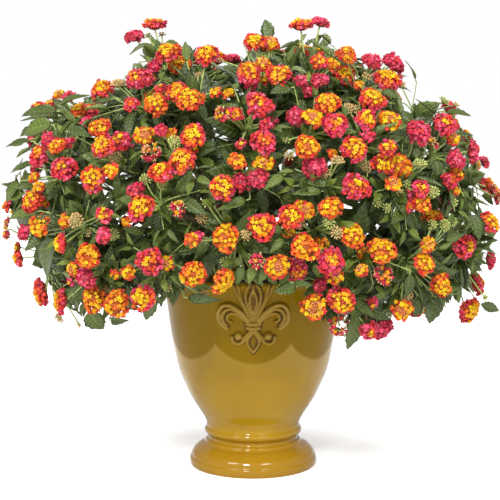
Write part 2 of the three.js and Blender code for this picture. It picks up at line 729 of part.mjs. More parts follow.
function bareBlade(made) {
  const body = new Body();
  const first = body.loop(made.loops[0]);
  body.closeStart(first);
  growLeaf(body, first, { ...made, stalk: null, loops: made.loops.slice(1) });
  return body;
}

function bareStalk(from, to, radius, endRadius = radius) {
  const body = new Body();
  const run = to.clone().sub(from).normalize();
  const guide = squareTo(run, new THREE.Vector3(0.3, 0.2, 1));
  const ring = (place, size) => [0, 1, 2].map((i) => along(place,
    guide.clone().applyAxisAngle(run, i * Math.PI * 2 / 3), size));
  const first = body.loop(ring(from, radius));
  const last = body.loop(ring(to, endRadius));
  body.closeStart(first);
  body.bridge(first, last);
  body.closeEnd(last);
  return body;
}

// Tries on a leaf: turned round the stem, raised, and shortened.
const leafTrials = [[0, 0, 1], [16, 0, 1], [-16, 0, 1], [0, 18, 1], [0, -18, 1], [24, 14, 0.8],
  [-24, 14, 0.8], [0, 30, 0.7], [0, 0, 0.6]];

function addPairedLeaf(shoot, node, side) {
  const { middle, out } = growthSide(shoot, node, side);
  const run = shoot.curve.getTangentAt(node.reach / shoot.length);
  const length = leaf.length + leaf.growth * node.order;
  for (const [turn, raise, scale] of leafTrials) {
    const slope = THREE.MathUtils.degToRad(40 - 8 * node.order + raise);
    const direction = out.clone().applyAxisAngle(run, THREE.MathUtils.degToRad(turn))
      .multiplyScalar(Math.cos(slope)).addScaledVector(run, Math.sin(slope));
    const made = blade(along(middle, direction, 8 * scale), direction, run, length * scale,
      length * leaf.ratio * scale, pairedCuts);
    const parts = [bareBlade(made),
      bareStalk(along(middle, direction, 2), middleOf(made.loops[0]), 1.9)];
    if (isFree(parts[0]) && isFree(parts[1], [shoot.owner])) {
      parts.forEach((part) => take(part, `${shoot.owner} leaf`));
      node.growths[side] = (grown, corners) => growLeaf(grown, corners, made);
      return;
    }
  }
}

// A leaf of the view: its foot stays near the depth of its spray, and its tip near its foot.
function addSeenLeaf(shoot, spray, [footU, footW, tipU, tipW, width]) {
  const slant = leaf.slant * Math.hypot(tipU - footU, tipW - footW);
  const footDepth = near(domeDepth(footU, footW), spray.depth, dome.spread);
  const tipDepth = near(domeDepth(tipU, tipW), footDepth, slant);
  for (const shift of [0, 8, -8, 16, -16, 26, -26, 38, 50, 62, 76]) {
    const foot = carriedRound(sighted(footU, footW, footDepth + 12 + shift), spray.angle);
    const tip = carriedRound(sighted(tipU, tipW, tipDepth + 2 + shift), spray.angle);
    const direction = tip.clone().sub(foot).normalize();
    const toViewer = carriedRound(viewer, spray.angle).sub(foot).normalize();
    const upper = domeNormal(foot).multiplyScalar(0.5).addScaledVector(toViewer, 0.4)
      .add(new THREE.Vector3(0, 0, 0.3));
    const made = blade(foot, direction, upper, tip.distanceTo(foot), width, seenCuts);
    if (growFromNearest(shoot, foot, direction, made, 0)) return;
    if (growFromNearest(shoot, foot, direction, made, -0.5)) return;
  }
}

// Gives a blade a stalk from the nearest free side of the shoot's nodes that has room for it and
// that keeps the turn from the stalk into the blade open.
function growFromNearest(shoot, foot, direction, made, open) {
  const body = bareBlade(made);
  if (!isFree(body)) return false;
  const heel = along(foot, direction, -5);
  const places = shoot.nodes.flatMap((node) => [0, 1, 2, 3]
    .filter((side) => !node.growths[side])
    .map((side) => ({ node, side, ...growthSide(shoot, node, side) })))
    .map((place) => ({ ...place, run: heel.clone().sub(place.middle).normalize() }))
    .filter(({ out, run }) => out.dot(run) > 0.1 && run.dot(direction) > open)
    .sort((a, b) => a.middle.distanceTo(foot) - b.middle.distanceTo(foot));
  for (const { node, side, corners, middle, run } of places) {
    const parts = [bareStalk(along(middle, run, 3), heel, 1.8, 1.4), bareStalk(heel, foot, 2)];
    const start = bareStalk(along(middle, run, 0.5), along(middle, run, 5), 2.2);
    if (isFree(start, [shoot.owner]) && parts.every((part) => isFree(part))) {
      [body, ...parts].forEach((part) => take(part, `${shoot.owner} leaf`));
      const { stalk, first } = heelRing(heel, run.clone().add(direction).normalize(), corners, made);
      node.growths[side] = (grown, base) => growLeaf(grown,
        [...base.slice(first), ...base.slice(0, first)], { ...made, stalk });
      return true;
    }
  }
  return false;
}

// The ring that ends a leaf's stalk, turned like the side it grows from and most like the blade.
function heelRing(heel, run, corners, made) {
  const middle = middleOf(corners);
  const bladeLooks = made.loops[0].map((corner) => corner.clone().sub(middleOf(made.loops[0])));
  const rings = corners.map((corner, first) => {
    const guide = squareTo(run, corner.clone().sub(middle));
    const looks = [0, 1, 2].map((i) => guide.clone().applyAxisAngle(run, i * Math.PI * 2 / 3));
    const fits = looks.map((_, i) => looks.reduce((sum, look, k) => sum
      + look.dot(bladeLooks[(i + k) % 3]), 0));
    return { first, fit: Math.max(...fits), stalk: looks.map((look) => along(heel, look, 1.2)) };
  });
  return rings.sort((a, b) => b.fit - a.fit)[0];
}

// Small heads have fewer lobes, as have the heads at the back.
function lobesOf({ radius, lobes }) {
  if (radius < 8) return 3;
  return lobes ?? (radius < 15.5 ? 4 : 5);
}

// A head as a lobed rim, a ring of raised florets and a crest, from the loop at its foot.
function headShape(made, guide) {
  const { centre, axis, radius, stage } = made;
  const lobes = lobesOf(made);
  const crest = { bud: 0.75, old: 0.4, pink: 0.45 }[stage] ?? 0.52;
  const u = squareTo(axis, guide);
  const at = (turn, spread, rise) => along(along(centre, axis, radius * rise),
    u.clone().applyAxisAngle(axis, Math.PI * 2 * turn / lobes), radius * spread);
  const rim = [];
  const peaks = [];
  for (let i = 0; i < lobes; i += 1) {
    rim.push(at(i, 1, -0.04), at(i + 0.5, 0.78, 0.1));
    peaks.push(at(i + 0.5, 0.5, crest * 0.88));
  }
  return { rim, peaks, apex: along(centre, axis, radius * crest) };
}

const headFoot = (made) => along(made.centre, made.axis, -0.34 * made.radius);

function growHead(body, foot, made) {
  const middle = middleOf(foot.map((corner) => body.points[corner]));
  const shape = headShape(made, body.points[foot[0]].clone().sub(middle));
  const rim = body.loop(shape.rim);
  const peaks = body.loop(shape.peaks);
  body.bridge(foot, rim);
  body.bridge(rim, peaks);
  body.peak(peaks, shape.apex);
}

// A ring of three round a stalk, turned as the face that the stalk grows from.
function stalkRing(place, run, face) {
  const middle = middleOf(face);
  return face.map((corner) => along(place, squareTo(run, corner.clone().sub(middle)), head.stalk));
}

// The point that a stalk makes for first: its bow, or the head's foot where it runs straight.
function stalkBow(made, start) {
  return made.bend ? between(start, headFoot(made), 0.5).add(made.bend) : headFoot(made);
}

// The way a stalk runs where it reaches its head.
function arrival(made, face) {
  const from = made.bend ? stalkBow(made, middleOf(face)) : middleOf(face);
  return headFoot(made).sub(from).normalize();
}

function stalkRings(made, face) {
  const start = middleOf(face);
  const end = headFoot(made);
  const foot = stalkRing(end, arrival(made, face), face);
  const run = end.clone().sub(start).normalize();
  return made.bend ? [stalkRing(stalkBow(made, start), run, face), foot] : [foot];
}

function bareHead(made, face) {
  const body = new Body();
  const foot = body.loop(stalkRings(made, face).at(-1));
  body.closeStart(foot);
  growHead(body, foot, made);
  return body;
}

// The stalk of a head as loops on their own, from a distance off its face of the hub.
function bareHeadStalk(made, face, lead) {
  const start = middleOf(face);
  const run = stalkBow(made, start).sub(start).normalize();
  const body = new Body();
  let last = body.loop(face.map((corner) => along(along(corner, run, lead),
    squareTo(run, corner.clone().sub(start)), -0.3 * lead / 6)));
  body.closeStart(last);
  stalkRings(made, face).forEach((ring) => {
    const loop = body.loop(ring);
    body.bridge(last, loop);
    last = loop;
  });
  body.closeEnd(last);
  return body;
}

// The hub of a spray: a small knuckle, one face of it square on the stem's end.
function makeHub(spray) {
  const body = bodyFrom(new THREE.IcosahedronGeometry(hub.radius, 0));
  const normals = body.faces.map((face) => middleOf(face.map((i) => body.points[i])).normalize());
  const turn = new THREE.Quaternion()
    .setFromUnitVectors(normals[0], spray.run.clone().negate());
  body.points.forEach((place) => place.applyQuaternion(turn).add(spray.hub));
  return { body, normals: normals.map((normal) => normal.applyQuaternion(turn)) };
}

// A head never looks back along its own stalk.
function faceFromStalk(made, hubPlace) {
  const run = made.centre.clone().sub(hubPlace).normalize();
  const short = 0.35 - made.axis.dot(run);
  return short > 0 ? { ...made, axis: along(made.axis, run, short * 1.2).normalize() } : made;
}

// Tries on a head: moved along its axis, and drawn in.
const headTrials = [[0, 1], [4, 1], [-4, 1], [8, 1], [-8, 1], [12, 1], [-12, 1], [17, 1], [-17, 1],
  [24, 1], [0, 0.85], [8, 0.85], [-8, 0.85], [0, 0.7], [-14, 0.7], [14, 0.7], [30, 0.85]];

// Whether a head on a face of the hub is clear of everything, and its stalk of the other stalks.
function isSeated(trial, face, own, starts) {
  if (arrival(trial, face).dot(trial.axis) < 0.1) return false;
  const start = bareHeadStalk(trial, face, 2).solid();
  return starts.every((other) => start.minGap(other, 1) > 0.02)
    && isFree(bareHead(trial, face), own.slice(0, 1))
    && isFree(bareHeadStalk(trial, face, 6), own.slice(0, 1))
    && isFree(bareHeadStalk(trial, face, 1), own);
}

// Seats a head on the free face of the hub that looks towards it, and moves it until it is clear.
function seatHead(spray, knuckle, used, placed) {
  const made = faceFromStalk(placed, spray.hub);
  const wish = headFoot(made).sub(spray.hub).normalize();
  const order = knuckle.normals.map((normal, i) => ({ i, look: normal.dot(wish) }))
    .filter(({ i }) => !used.has(i) && knuckle.normals[i].dot(spray.run) > -0.6)
    .sort((a, b) => b.look - a.look);
  const faces = order.slice(0, 3).map(({ i }) => ({ i,
    face: knuckle.body.faces[i].map((corner) => knuckle.body.points[corner]) }));
  const sideways = squareTo(wish, made.axis);
  const other = wish.clone().cross(sideways);
  const bends = [0, 8, 15].flatMap((bow) => (bow === 0 ? [null] : [[1, 0], [0, 1], [-1, 0], [0, -1]]
    .map(([a, b]) => sideways.clone().multiplyScalar(a * bow).addScaledVector(other, b * bow))));
  const own = [`${spray.name} hub`, `${spray.name} head`];
  for (const [shift, scale] of headTrials) {
    for (const { i, face } of faces) {
      for (const bend of bends) {
        const trial = { ...made, radius: made.radius * scale, bend,
          centre: along(made.centre, made.axis, shift) };
        if (!isSeated(trial, face, own, spray.starts)) continue;
        take(bareHead(trial, face), own[1]);
        take(bareHeadStalk(trial, face, 6), own[1]);
        spray.starts.push(bareHeadStalk(trial, face, 2).solid());
        used.add(i);
        return { ...trial, face: i };
      }
    }
  }
  return null;
}

function growSpray(spray) {
  const { body, normals } = spray.knuckle;
  const grown = new Body();
  const corners = grown.loop(body.points);
  body.faces.forEach((face, i) => {
    const seated = spray.seated.find((made) => made.face === i);
    if (!seated) {
      grown.faces.push(face.map((corner) => corners[corner]));
      return;
    }
    let last = face.map((corner) => corners[corner]);
    stalkRings(seated, face.map((corner) => body.points[corner])).forEach((ring) => {
      const loop = grown.loop(ring);
      grown.bridge(last, loop);
      last = loop;
    });
    growHead(grown, last, seated);
  });
  return grown;
}

// ---- the whole plant ----------------------------------------------------------------------

function makeSpray(name, heads, angle) {
  const middle = middleOf(heads.map((made) => made.centre));
  const outward = domeNormal(middle);
  return { name: `${name} ${Math.round(THREE.MathUtils.radToDeg(angle))}`, heads, angle, outward,
    depth: name in sprays ? sprayDepths(sprays[name].heads).mean : 0,
    leaves: sprays[name]?.leaves ?? [], hub: along(middle, outward, -hub.depth), starts: [] };
}

function makeBranches() {
  const placed = [];
  const heads = placeHeads(placed);
  const tops = placeTopHeads(placed);
  const front = frontBranches.map((names) => names.map((name) => makeSpray(name, heads[name], 0)));
  const back = backBranches.map((shoots) => shoots.map(([name, degrees]) => {
    const angle = THREE.MathUtils.degToRad(degrees);
    return makeSpray(name, tops[name] ?? turnHeads(heads[name], angle, placed), angle);
  }));
  return [...front, ...back];
}

// The flat facets of the crown that look up or sideways, as seats for the branches.
function crownSeats() {
  return crownBall.faces.map((face) => face.map((i) => crownBall.points[i]))
    .map((corners) => ({ middle: middleOf(corners), used: false,
      out: corners[1].clone().sub(corners[0]).cross(corners[2].clone().sub(corners[0])).normalize() }))
    .filter(({ middle }) => middle.z > crown.height - 16);
}

function layBranch(branch, seats) {
  const aim = middleOf(branch.map((spray) => spray.hub))
    .sub(new THREE.Vector3(0, 0, crown.height));
  aim.z += 0.35 * Math.hypot(aim.x, aim.y);
  const [seat] = seats.filter(({ used }) => !used).sort((a, b) => b.out.dot(aim) - a.out.dot(aim));
  seat.used = true;
  const main = layStem(branch[0], along(seat.middle, seat.out, seatGap), seat.out, stem.base, 6);
  const forks = branch.slice(1).map((spray, i) => {
    const node = makeNode(main.length * (0.27 + 0.14 * i), stem.fork);
    main.nodes.push(node);
    const side = sideTowards(main, node, spray.hub);
    const { middle, out } = growthSide(main, node, side);
    const shoot = layStem(spray, middle, out, stem.fork, 10);
    node.growths[side] = (body, corners) => growStem(body, shoot, corners);
    return shoot;
  });
  addLeafNodes(main, forks.length ? main.nodes.at(-1).reach + 16 : 30);
  forks.forEach((shoot) => addLeafNodes(shoot, 24));
  const shoots = [main, ...forks];
  shoots.forEach(addBends);
  return shoots;
}

// Plain sections where a stem runs on between its nodes, so that it follows its curve.
function addBends(shoot) {
  const stops = [0, ...shoot.nodes.map(({ reach }) => reach).sort((a, b) => a - b), shoot.length];
  stops.slice(1).forEach((stop, i) => {
    const run = stop - stops[i];
    const count = Math.floor(run / stem.straight);
    for (let k = 1; k <= count; k += 1) {
      shoot.bends.push(stops[i] + run * k / (count + 1));
    }
  });
}

function addLeaves(shoot) {
  shoot.nodes.filter((node) => 'order' in node).forEach((node) => {
    [node.order % 2, node.order % 2 + 2].filter((side) => !node.growths[side])
      .forEach((side) => addPairedLeaf(shoot, node, side));
  });
}

function plantMeshes() {
  const branches = makeBranches();
  const seats = crownSeats();
  const shoots = branches.map((branch) => layBranch(branch, seats));
  const everySpray = branches.flat();
  everySpray.forEach((spray) => {
    spray.knuckle = makeHub(spray);
    take(spray.knuckle.body, `${spray.name} hub`);
  });
  everySpray.forEach((spray) => {
    const used = new Set();
    spray.seated = spray.heads.map((made) => seatHead(spray, spray.knuckle, used, made))
      .filter(Boolean);
  });
  branches.forEach((branch, i) => branch.forEach((spray, k) => spray.leaves
    .forEach((seen) => addSeenLeaf(shoots[i][k], spray, seen))));
  shoots.flat().forEach(addLeaves);
  return [
    ...shoots.map(([main], i) => ['branch', i, branchBody(main), 'foliage']),
    ...everySpray.map((spray, i) => ['spray', i, growSpray(spray), finishOf(spray)]),
  ].map(([kind, i, body, finish]) => meshOf(`${kind}_${String(i + 1).padStart(2, '0')}`,
    body.geometry(), finish));
}

function branchBody(main) {
  const body = new Body();
  const base = body.loop(section(main, 0));
  body.closeStart(base);
  growStem(body, main, base);
  return body;
}

// A spray takes the finish that covers most of it.
function finishOf(spray) {
  const areas = {};
  spray.seated.forEach(({ stage, radius }) => {
    areas[finishOfStage[stage]] = (areas[finishOfStage[stage]] ?? 0) + radius ** 2;
  });
  return Object.keys(areas).sort((a, b) => areas[b] - areas[a])[0];
}

function meshOf(name, geometry, finish) {
  const mesh = new THREE.Mesh(geometry, new THREE.MeshStandardMaterial(finishes[finish]));
  mesh.name = name;
  return mesh;
}

take(turned([...potOutside, ...potInside, ...footHollow, potOutside[0]], pot.sides), 'pot');
take(crownBall, 'crown');

const plant = new THREE.Group();
plant.add(meshOf('pot', geometryFrom(makePot()), 'glaze'));
plant.add(meshOf('soil', geometryFrom(makeSoil()), 'earth'));
plant.add(meshOf('crown', geometryFrom(makeCrown()), 'bark'));
plant.add(...plantMeshes());

export default plant;
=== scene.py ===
import math
import random

import bmesh
import bpy
import numpy as np
from mathutils import Matrix, Quaternion, Vector, noise
from mathutils.kdtree import KDTree


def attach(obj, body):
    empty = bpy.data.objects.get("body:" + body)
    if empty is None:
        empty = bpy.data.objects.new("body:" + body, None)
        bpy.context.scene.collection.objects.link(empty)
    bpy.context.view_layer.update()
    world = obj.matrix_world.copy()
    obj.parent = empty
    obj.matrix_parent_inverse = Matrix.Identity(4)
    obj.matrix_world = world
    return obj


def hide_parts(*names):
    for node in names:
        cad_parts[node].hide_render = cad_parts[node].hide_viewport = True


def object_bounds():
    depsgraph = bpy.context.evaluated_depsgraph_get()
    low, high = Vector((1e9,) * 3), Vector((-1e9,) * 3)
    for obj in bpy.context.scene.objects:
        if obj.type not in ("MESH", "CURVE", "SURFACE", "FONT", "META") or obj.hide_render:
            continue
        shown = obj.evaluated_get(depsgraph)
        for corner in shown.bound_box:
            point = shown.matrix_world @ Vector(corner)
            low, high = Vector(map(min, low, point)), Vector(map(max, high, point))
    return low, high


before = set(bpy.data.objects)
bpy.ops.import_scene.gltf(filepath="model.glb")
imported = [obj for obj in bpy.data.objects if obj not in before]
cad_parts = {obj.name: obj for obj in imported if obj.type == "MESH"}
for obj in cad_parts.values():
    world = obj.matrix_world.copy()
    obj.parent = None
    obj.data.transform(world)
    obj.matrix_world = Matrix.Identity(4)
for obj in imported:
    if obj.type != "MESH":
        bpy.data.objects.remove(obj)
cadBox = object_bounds()
mm = 0.001


# small helpers

def linear(red, green, blue):
    # A colour as a painter names it, 0 to 255, as the light value that shaders want.
    return tuple(((c / 255 + 0.055) / 1.055) ** 2.4 if c > 10 else c / 255 / 12.92
                 for c in (red, green, blue)) + (1.0,)


def between(a, b, share):
    return a + (b - a) * share


def clamp(value, low, high):
    return max(low, min(high, value))


def squareTo(axis, direction):
    # The part of a direction that is square to an axis.
    side = direction - axis * direction.dot(axis)
    return side.normalized() if side.length > 1e-9 else axis.orthogonal().normalized()


def heightAt(line, across):
    # Height of a drawn line at a place across.
    return float(np.interp(across, [p[0] for p in line], [p[1] for p in line]))


def addObject(name, data):
    item = bpy.data.objects.new(name, data)
    bpy.context.scene.collection.objects.link(item)
    return item


def meshObject(name, places, faces, smooth=True):
    mesh = bpy.data.meshes.new(name)
    mesh.from_pydata(places, [], faces)
    mesh.validate()
    for face in mesh.polygons:
        face.use_smooth = smooth
    return addObject(name, mesh)


def turnFrom(right, forward, up):
    # Euler angles that lay a shape's x, y and z along three directions.
    return Matrix((right, forward, up)).transposed().to_euler()


# the camera stands in front and looks level, and its view is shifted down to the pot

camera = {"place": (-0.0048, -1.7, 0.45), "lens": 76.5, "shift": -0.1395, "film": 36}


def makeCamera():
    data = bpy.data.cameras.new("camera")
    data.lens = camera["lens"]
    data.sensor_width = camera["film"]
    data.shift_y = camera["shift"]
    item = addObject("camera", data)
    item.location = camera["place"]
    item.rotation_euler = (math.radians(90), 0, 0)
    bpy.context.scene.camera = item


def farness(place):
    # How far off a place is, where the upright plane through the pot's middle is at 1.
    return (place.y - camera["place"][1]) / -camera["place"][1]


def seen(place):
    # Where a place shows on that plane, across and up in millimetres.
    share, eye = farness(place), camera["place"][2]
    return place.x / share / mm, (eye + (place.z - eye) / share) / mm


# materials

class Shader:
    # A short way to write a material's nodes.
    def __init__(self, name):
        self.material = bpy.data.materials.new(name)
        self.material.use_nodes = True
        self.tree = self.material.node_tree
        self.surface = self.tree.nodes["Principled BSDF"]

    def add(self, kind, sockets=None, **settings):
        node = self.tree.nodes.new("ShaderNode" + kind)
        for key, value in settings.items():
            setattr(node, key, value)
        for key, value in (sockets or {}).items():
            self.put(node.inputs[key], value)
        return node

    def put(self, socket, value):
        if isinstance(value, bpy.types.NodeSocket):
            self.tree.links.new(value, socket)
        else:
            socket.default_value = value

    def finish(self, **sockets):
        for key, value in sockets.items():
            self.put(self.surface.inputs[key.replace("_", " ")], value)
        return self.material

    def place(self):
        return self.add("TexCoord").outputs["Object"]

    def attribute(self, name, output="Fac"):
        return self.add("Attribute", attribute_name=name).outputs[output]

    def noise(self, scale, detail=3, vector=None, rough=0.5):
        return self.add("TexNoise", {"Vector": vector or self.place(), "Scale": scale,
                                     "Detail": detail, "Roughness": rough}).outputs["Fac"]

    def ramp(self, value, *stops):
        node = self.add("ValToRGB", {"Fac": value})
        while len(node.color_ramp.elements) < len(stops):
            node.color_ramp.elements.new(0.5)
        for element, (at, colour) in zip(node.color_ramp.elements, stops):
            element.position = at
            element.color = colour if len(colour) == 4 else (*colour, 1)
        return node.outputs["Color"]

    def grey(self, value, *stops):
        return self.ramp(value, *((at, (level, level, level)) for at, level in stops))

    def mix(self, share, first, second, blend="MIX"):
        node = self.add("Mix", data_type="RGBA", blend_type=blend)
        self.put(node.inputs[0], share)
        self.put(node.inputs[6], first)
        self.put(node.inputs[7], second)
        return node.outputs[2]

    def math(self, operation, first, second=0.0):
        node = self.add("Math", operation=operation)
        self.put(node.inputs[0], first)
        self.put(node.inputs[1], second)
        return node.outputs[0]

    def plus(self, first, second):
        return self.math("ADD", first, second)

    def minus(self, first, second):
        return self.math("SUBTRACT", first, second)

    def times(self, first, second):
        return self.math("MULTIPLY", first, second)

    def size(self, value):
        return self.math("ABSOLUTE", value)

    def bump(self, height, depth, strength=1.0):
        return self.add("Bump", {"Height": height, "Distance": depth,
                                 "Strength": strength}).outputs["Normal"]


glaze = {"edge": 0.207, "run": 0.030, "shadeScallops": 7, "roundness": 0.7, "footFrom": 0.035,
         "footTo": 0.080, "wash": 9, "thickness": 0.0006}


def glazeFinish():
    shade = Shader("ochre glaze")
    cloud, speck = shade.noise(7, 4), shade.noise(420, 2)
    body = shade.ramp(cloud, (0.3, linear(153, 119, 14)), (0.5, linear(165, 129, 20)),
                      (0.72, linear(177, 141, 32)))
    glazeTone = shade.mix(shade.grey(speck, (0.42, 0.0), (0.7, 0.25)), body, linear(136, 100, 10))
    # Painted shadow and dark reflection of the foliage: the upper bowl is darkened from the rim down
    # to a line of round scallops, and has less coat there.
    parts = shade.add("SeparateXYZ", {"Vector": shade.place()}).outputs
    turn = shade.math("ARCTAN2", parts[0], shade.times(parts[1], -1.0))
    wave = shade.size(shade.math("COSINE", shade.times(turn, glaze["shadeScallops"] / 2)))
    shadeScallop = shade.times(shade.math("POWER", wave, glaze["roundness"]), glaze["run"])
    above = shade.minus(parts[2], shade.minus(glaze["edge"], shadeScallop))
    second = shade.grey(shade.plus(shade.times(above, 100.0), 0.5), (0.3, 0.0), (0.8, 1.0))
    glazeTone = shade.mix(shade.times(second, 0.85), glazeTone, linear(128, 98, 2))
    # Painted shade: the foot is darkened and browner, standing in for dark reflections on it.
    low = shade.grey(shade.times(parts[2], 10.0), (10 * glaze["footFrom"], 0.5),
                     (10 * glaze["footTo"], 0.0))
    glazeTone = shade.mix(low, glazeTone, linear(138, 94, 16))
    # Painted highlight, with glaze breaking thin: the relief's ridges are paler.
    ridges = shade.mix(shade.times(shade.attribute("ridge"), 0.5), glazeTone, linear(184, 152, 82))
    colour = shade.mix(shade.attribute("hollow"), ridges, linear(80, 58, 34))
    bands = shade.add("Mapping", {"Vector": shade.place(), "Scale": (1, 1, glaze["wash"])})
    wash = shade.noise(glaze["wash"], 3, bands.outputs[0])
    height = shade.plus(wash, shade.times(speck, 0.12))
    return shade.finish(Base_Color=colour, Roughness=shade.grey(cloud, (0.3, 0.1), (0.7, 0.2)),
                        Normal=shade.bump(height, glaze["thickness"], 0.5),
                        Coat_Weight=shade.grey(second, (0.0, 0.55), (1.0, 0.06)),
                        Coat_Roughness=0.03, Coat_IOR=1.5, Specular_IOR_Level=0.06)


def earthFinish():
    shade = Shader("potting earth")
    crumb = shade.noise(130, 6, rough=0.7)
    colour = shade.ramp(crumb, (0.3, linear(26, 18, 12)), (0.55, linear(58, 42, 28)),
                        (0.75, linear(104, 84, 60)))
    return shade.finish(Base_Color=colour, Roughness=0.95, Normal=shade.bump(crumb, 0.003, 0.9))


def barkFinish():
    shade = Shader("stem bark")
    streak = shade.noise(160, 4, rough=0.65)
    woody = shade.ramp(streak, (0.3, linear(74, 56, 36)), (0.7, linear(128, 104, 70)))
    green = shade.ramp(streak, (0.3, linear(84, 104, 40)), (0.7, linear(128, 142, 68)))
    colour = shade.mix(shade.grey(shade.attribute("girth"), (0.0013, 0.0), (0.0026, 1.0)),
                       green, woody)
    return shade.finish(Base_Color=colour, Roughness=0.72, Normal=shade.bump(streak, 0.0006, 0.8))


def stalkFinish():
    shade = Shader("green stalk")
    streak = shade.noise(260, 3)
    colour = shade.ramp(streak, (0.3, linear(112, 136, 50)), (0.7, linear(172, 186, 96)))
    return shade.finish(Base_Color=colour, Roughness=0.5, Normal=shade.bump(streak, 0.0003, 0.6),
                        Sheen_Weight=0.3, Sheen_Roughness=0.5)


def leafFinish():
    shade = Shader("lantana leaf")
    parts = shade.add("SeparateXYZ", {"Vector": shade.attribute("blade", "Vector")}).outputs
    across = shade.size(parts[0])
    # Side veins leave the midrib in rows and bow towards the tip.
    bow = shade.times(shade.math("POWER", across, 1.4), 0.2)
    row = shade.math("FRACT", shade.times(shade.minus(parts[1], bow), 7.5))
    fromVein = shade.size(shade.minus(row, 0.5))
    rib = shade.grey(across, (0.03, 1.0), (0.09, 0.0))
    veins = shade.math("MAXIMUM", shade.grey(fromVein, (0.36, 0.0), (0.47, 1.0)), rib)
    cloud = shade.noise(38, 3)
    tone = shade.plus(shade.attribute("tone"), shade.times(shade.minus(cloud, 0.5), 0.3))
    green = shade.ramp(tone, (0.0, linear(28, 40, 12)), (0.35, linear(54, 70, 20)),
                       (0.65, linear(92, 108, 32)), (1.0, linear(158, 172, 62)))
    paleVein = shade.mix(0.4, green, linear(160, 176, 84))
    top = shade.mix(shade.times(veins, 0.6), green, paleVein)
    below = shade.mix(0.45, green, linear(132, 150, 82))
    # Between its veins the blade is quilted.
    dome = shade.math("POWER", shade.minus(1.0, shade.times(fromVein, 2.0)), 0.5)
    quilt = shade.minus(dome, shade.times(rib, 0.6))
    fine = shade.plus(quilt, shade.times(shade.noise(700, 2), 0.3))
    return shade.finish(Base_Color=shade.mix(shade.attribute("under"), top, below),
                        Roughness=shade.grey(cloud, (0.3, 0.3), (0.7, 0.46)),
                        Normal=shade.bump(fine, 0.0007, 0.7), Specular_IOR_Level=0.42)


def petalFinish(name):
    shade = Shader(name)
    reach = shade.attribute("reach")
    lobe = shade.attribute("lobeColour", "Color")
    eye = shade.attribute("eyeColour", "Color")
    cloud = shade.noise(300, 2)
    blade = shade.mix(shade.grey(cloud, (0.35, 0.0), (0.7, 0.3)), lobe,
                      shade.mix(0.25, lobe, linear(255, 236, 150)))
    colour = shade.mix(shade.grey(reach, (0.1, 1.0), (0.36, 0.0)), blade, eye)
    crease = shade.plus(shade.grey(reach, (0.0, 0.0), (0.5, 1.0)), cloud)
    return shade.finish(Base_Color=colour, Roughness=shade.grey(cloud, (0.3, 0.45), (0.7, 0.65)),
                        Normal=shade.bump(crease, 0.0004, 0.6), Specular_IOR_Level=0.18)


def budFinish():
    shade = Shader("closed bud")
    reach = shade.attribute("reach")
    tint = shade.attribute("lobeColour", "Color")
    cloud = shade.noise(500, 2)
    skin = shade.mix(shade.grey(cloud, (0.35, 0.0), (0.7, 0.35)), tint, linear(214, 196, 140))
    colour = shade.mix(shade.grey(reach, (0.1, 0.0), (0.55, 1.0)), linear(128, 142, 62), skin)
    return shade.finish(Base_Color=colour, Roughness=0.6, Normal=shade.bump(cloud, 0.0003, 0.6))


petalColours = ("yellow", "orange", "coral", "magenta")
finishes = {"glaze": glazeFinish(), "earth": earthFinish(), "bark": barkFinish(),
            "stalk": stalkFinish(), "leaf": leafFinish(), "bud": budFinish()}
finishes |= {colour: petalFinish(colour + " petals") for colour in petalColours}
print("finishes mixed")


# Geometry Nodes: stems along paths, and small shapes set on points

class NodeTree:
    # A short way to write a tree that ends in plain geometry with one finish.
    def __init__(self, name, **sockets):
        self.tree = bpy.data.node_groups.new(name, "GeometryNodeTree")
        for way in ("INPUT", "OUTPUT"):
            self.tree.interface.new_socket("Geometry", in_out=way,
                                           socket_type="NodeSocketGeometry")
        for title, kind in {**sockets, "Finish": "Material"}.items():
            self.tree.interface.new_socket(title, in_out="INPUT", socket_type="NodeSocket" + kind)
        self.sockets = self.tree.nodes.new("NodeGroupInput").outputs
        self.target = self.tree.nodes.new("NodeGroupOutput")

    def add(self, kind, **inputs):
        node = self.tree.nodes.new("GeometryNode" + kind)
        for key, value in inputs.items():
            socket = node.inputs[key.replace("_", " ")]
            if isinstance(value, bpy.types.NodeSocket):
                self.tree.links.new(value, socket)
            else:
                socket.default_value = value
        return node.outputs[0]

    def named(self, name, kind):
        node = self.tree.nodes.new("GeometryNodeInputNamedAttribute")
        node.data_type = kind
        node.inputs["Name"].default_value = name
        return node.outputs["Attribute"]

    def finish(self, geometry):
        plain = self.add("RealizeInstances", Geometry=geometry)
        painted = self.add("SetMaterial", Geometry=plain, Material=self.sockets["Finish"])
        self.tree.links.new(painted, self.target.inputs["Geometry"])
        return self.tree


def stemTree():
    tree = NodeTree("stems", Sides="Int")
    path = tree.add("MeshToCurve", Mesh=tree.sockets["Geometry"])
    ring = tree.add("CurvePrimitiveCircle", Resolution=tree.sockets["Sides"], Radius=1.0)
    return tree.finish(tree.add("CurveToMesh", Curve=path, Profile_Curve=ring, Fill_Caps=True,
                                Scale=tree.named("girth", "FLOAT")))


def scatterTree():
    tree = NodeTree("set on points", Shapes="Collection")
    shapes = tree.add("CollectionInfo", Collection=tree.sockets["Shapes"],
                      Separate_Children=True, Reset_Children=True)
    return tree.finish(tree.add("InstanceOnPoints", Points=tree.sockets["Geometry"],
                                Instance=shapes, Pick_Instance=True,
                                Instance_Index=tree.named("kind", "INT"),
                                Rotation=tree.named("turn", "FLOAT_VECTOR"),
                                Scale=tree.named("size", "FLOAT_VECTOR")))


trees = {"stems": stemTree(), "scatter": scatterTree()}


def grown(item, tree, **inputs):
    # Runs a tree on an object and keeps the result as a plain mesh.
    modifier = item.modifiers.new("grow", "NODES")
    modifier.node_group = tree
    for socket in tree.interface.items_tree:
        if socket.in_out == "INPUT" and socket.name in inputs:
            modifier[socket.identifier] = inputs[socket.name]
    bpy.context.view_layer.update()
    result = bpy.data.meshes.new_from_object(item.evaluated_get(
        bpy.context.evaluated_depsgraph_get()))
    item.modifiers.clear()
    item.data = result
    result.name = item.name
    return item


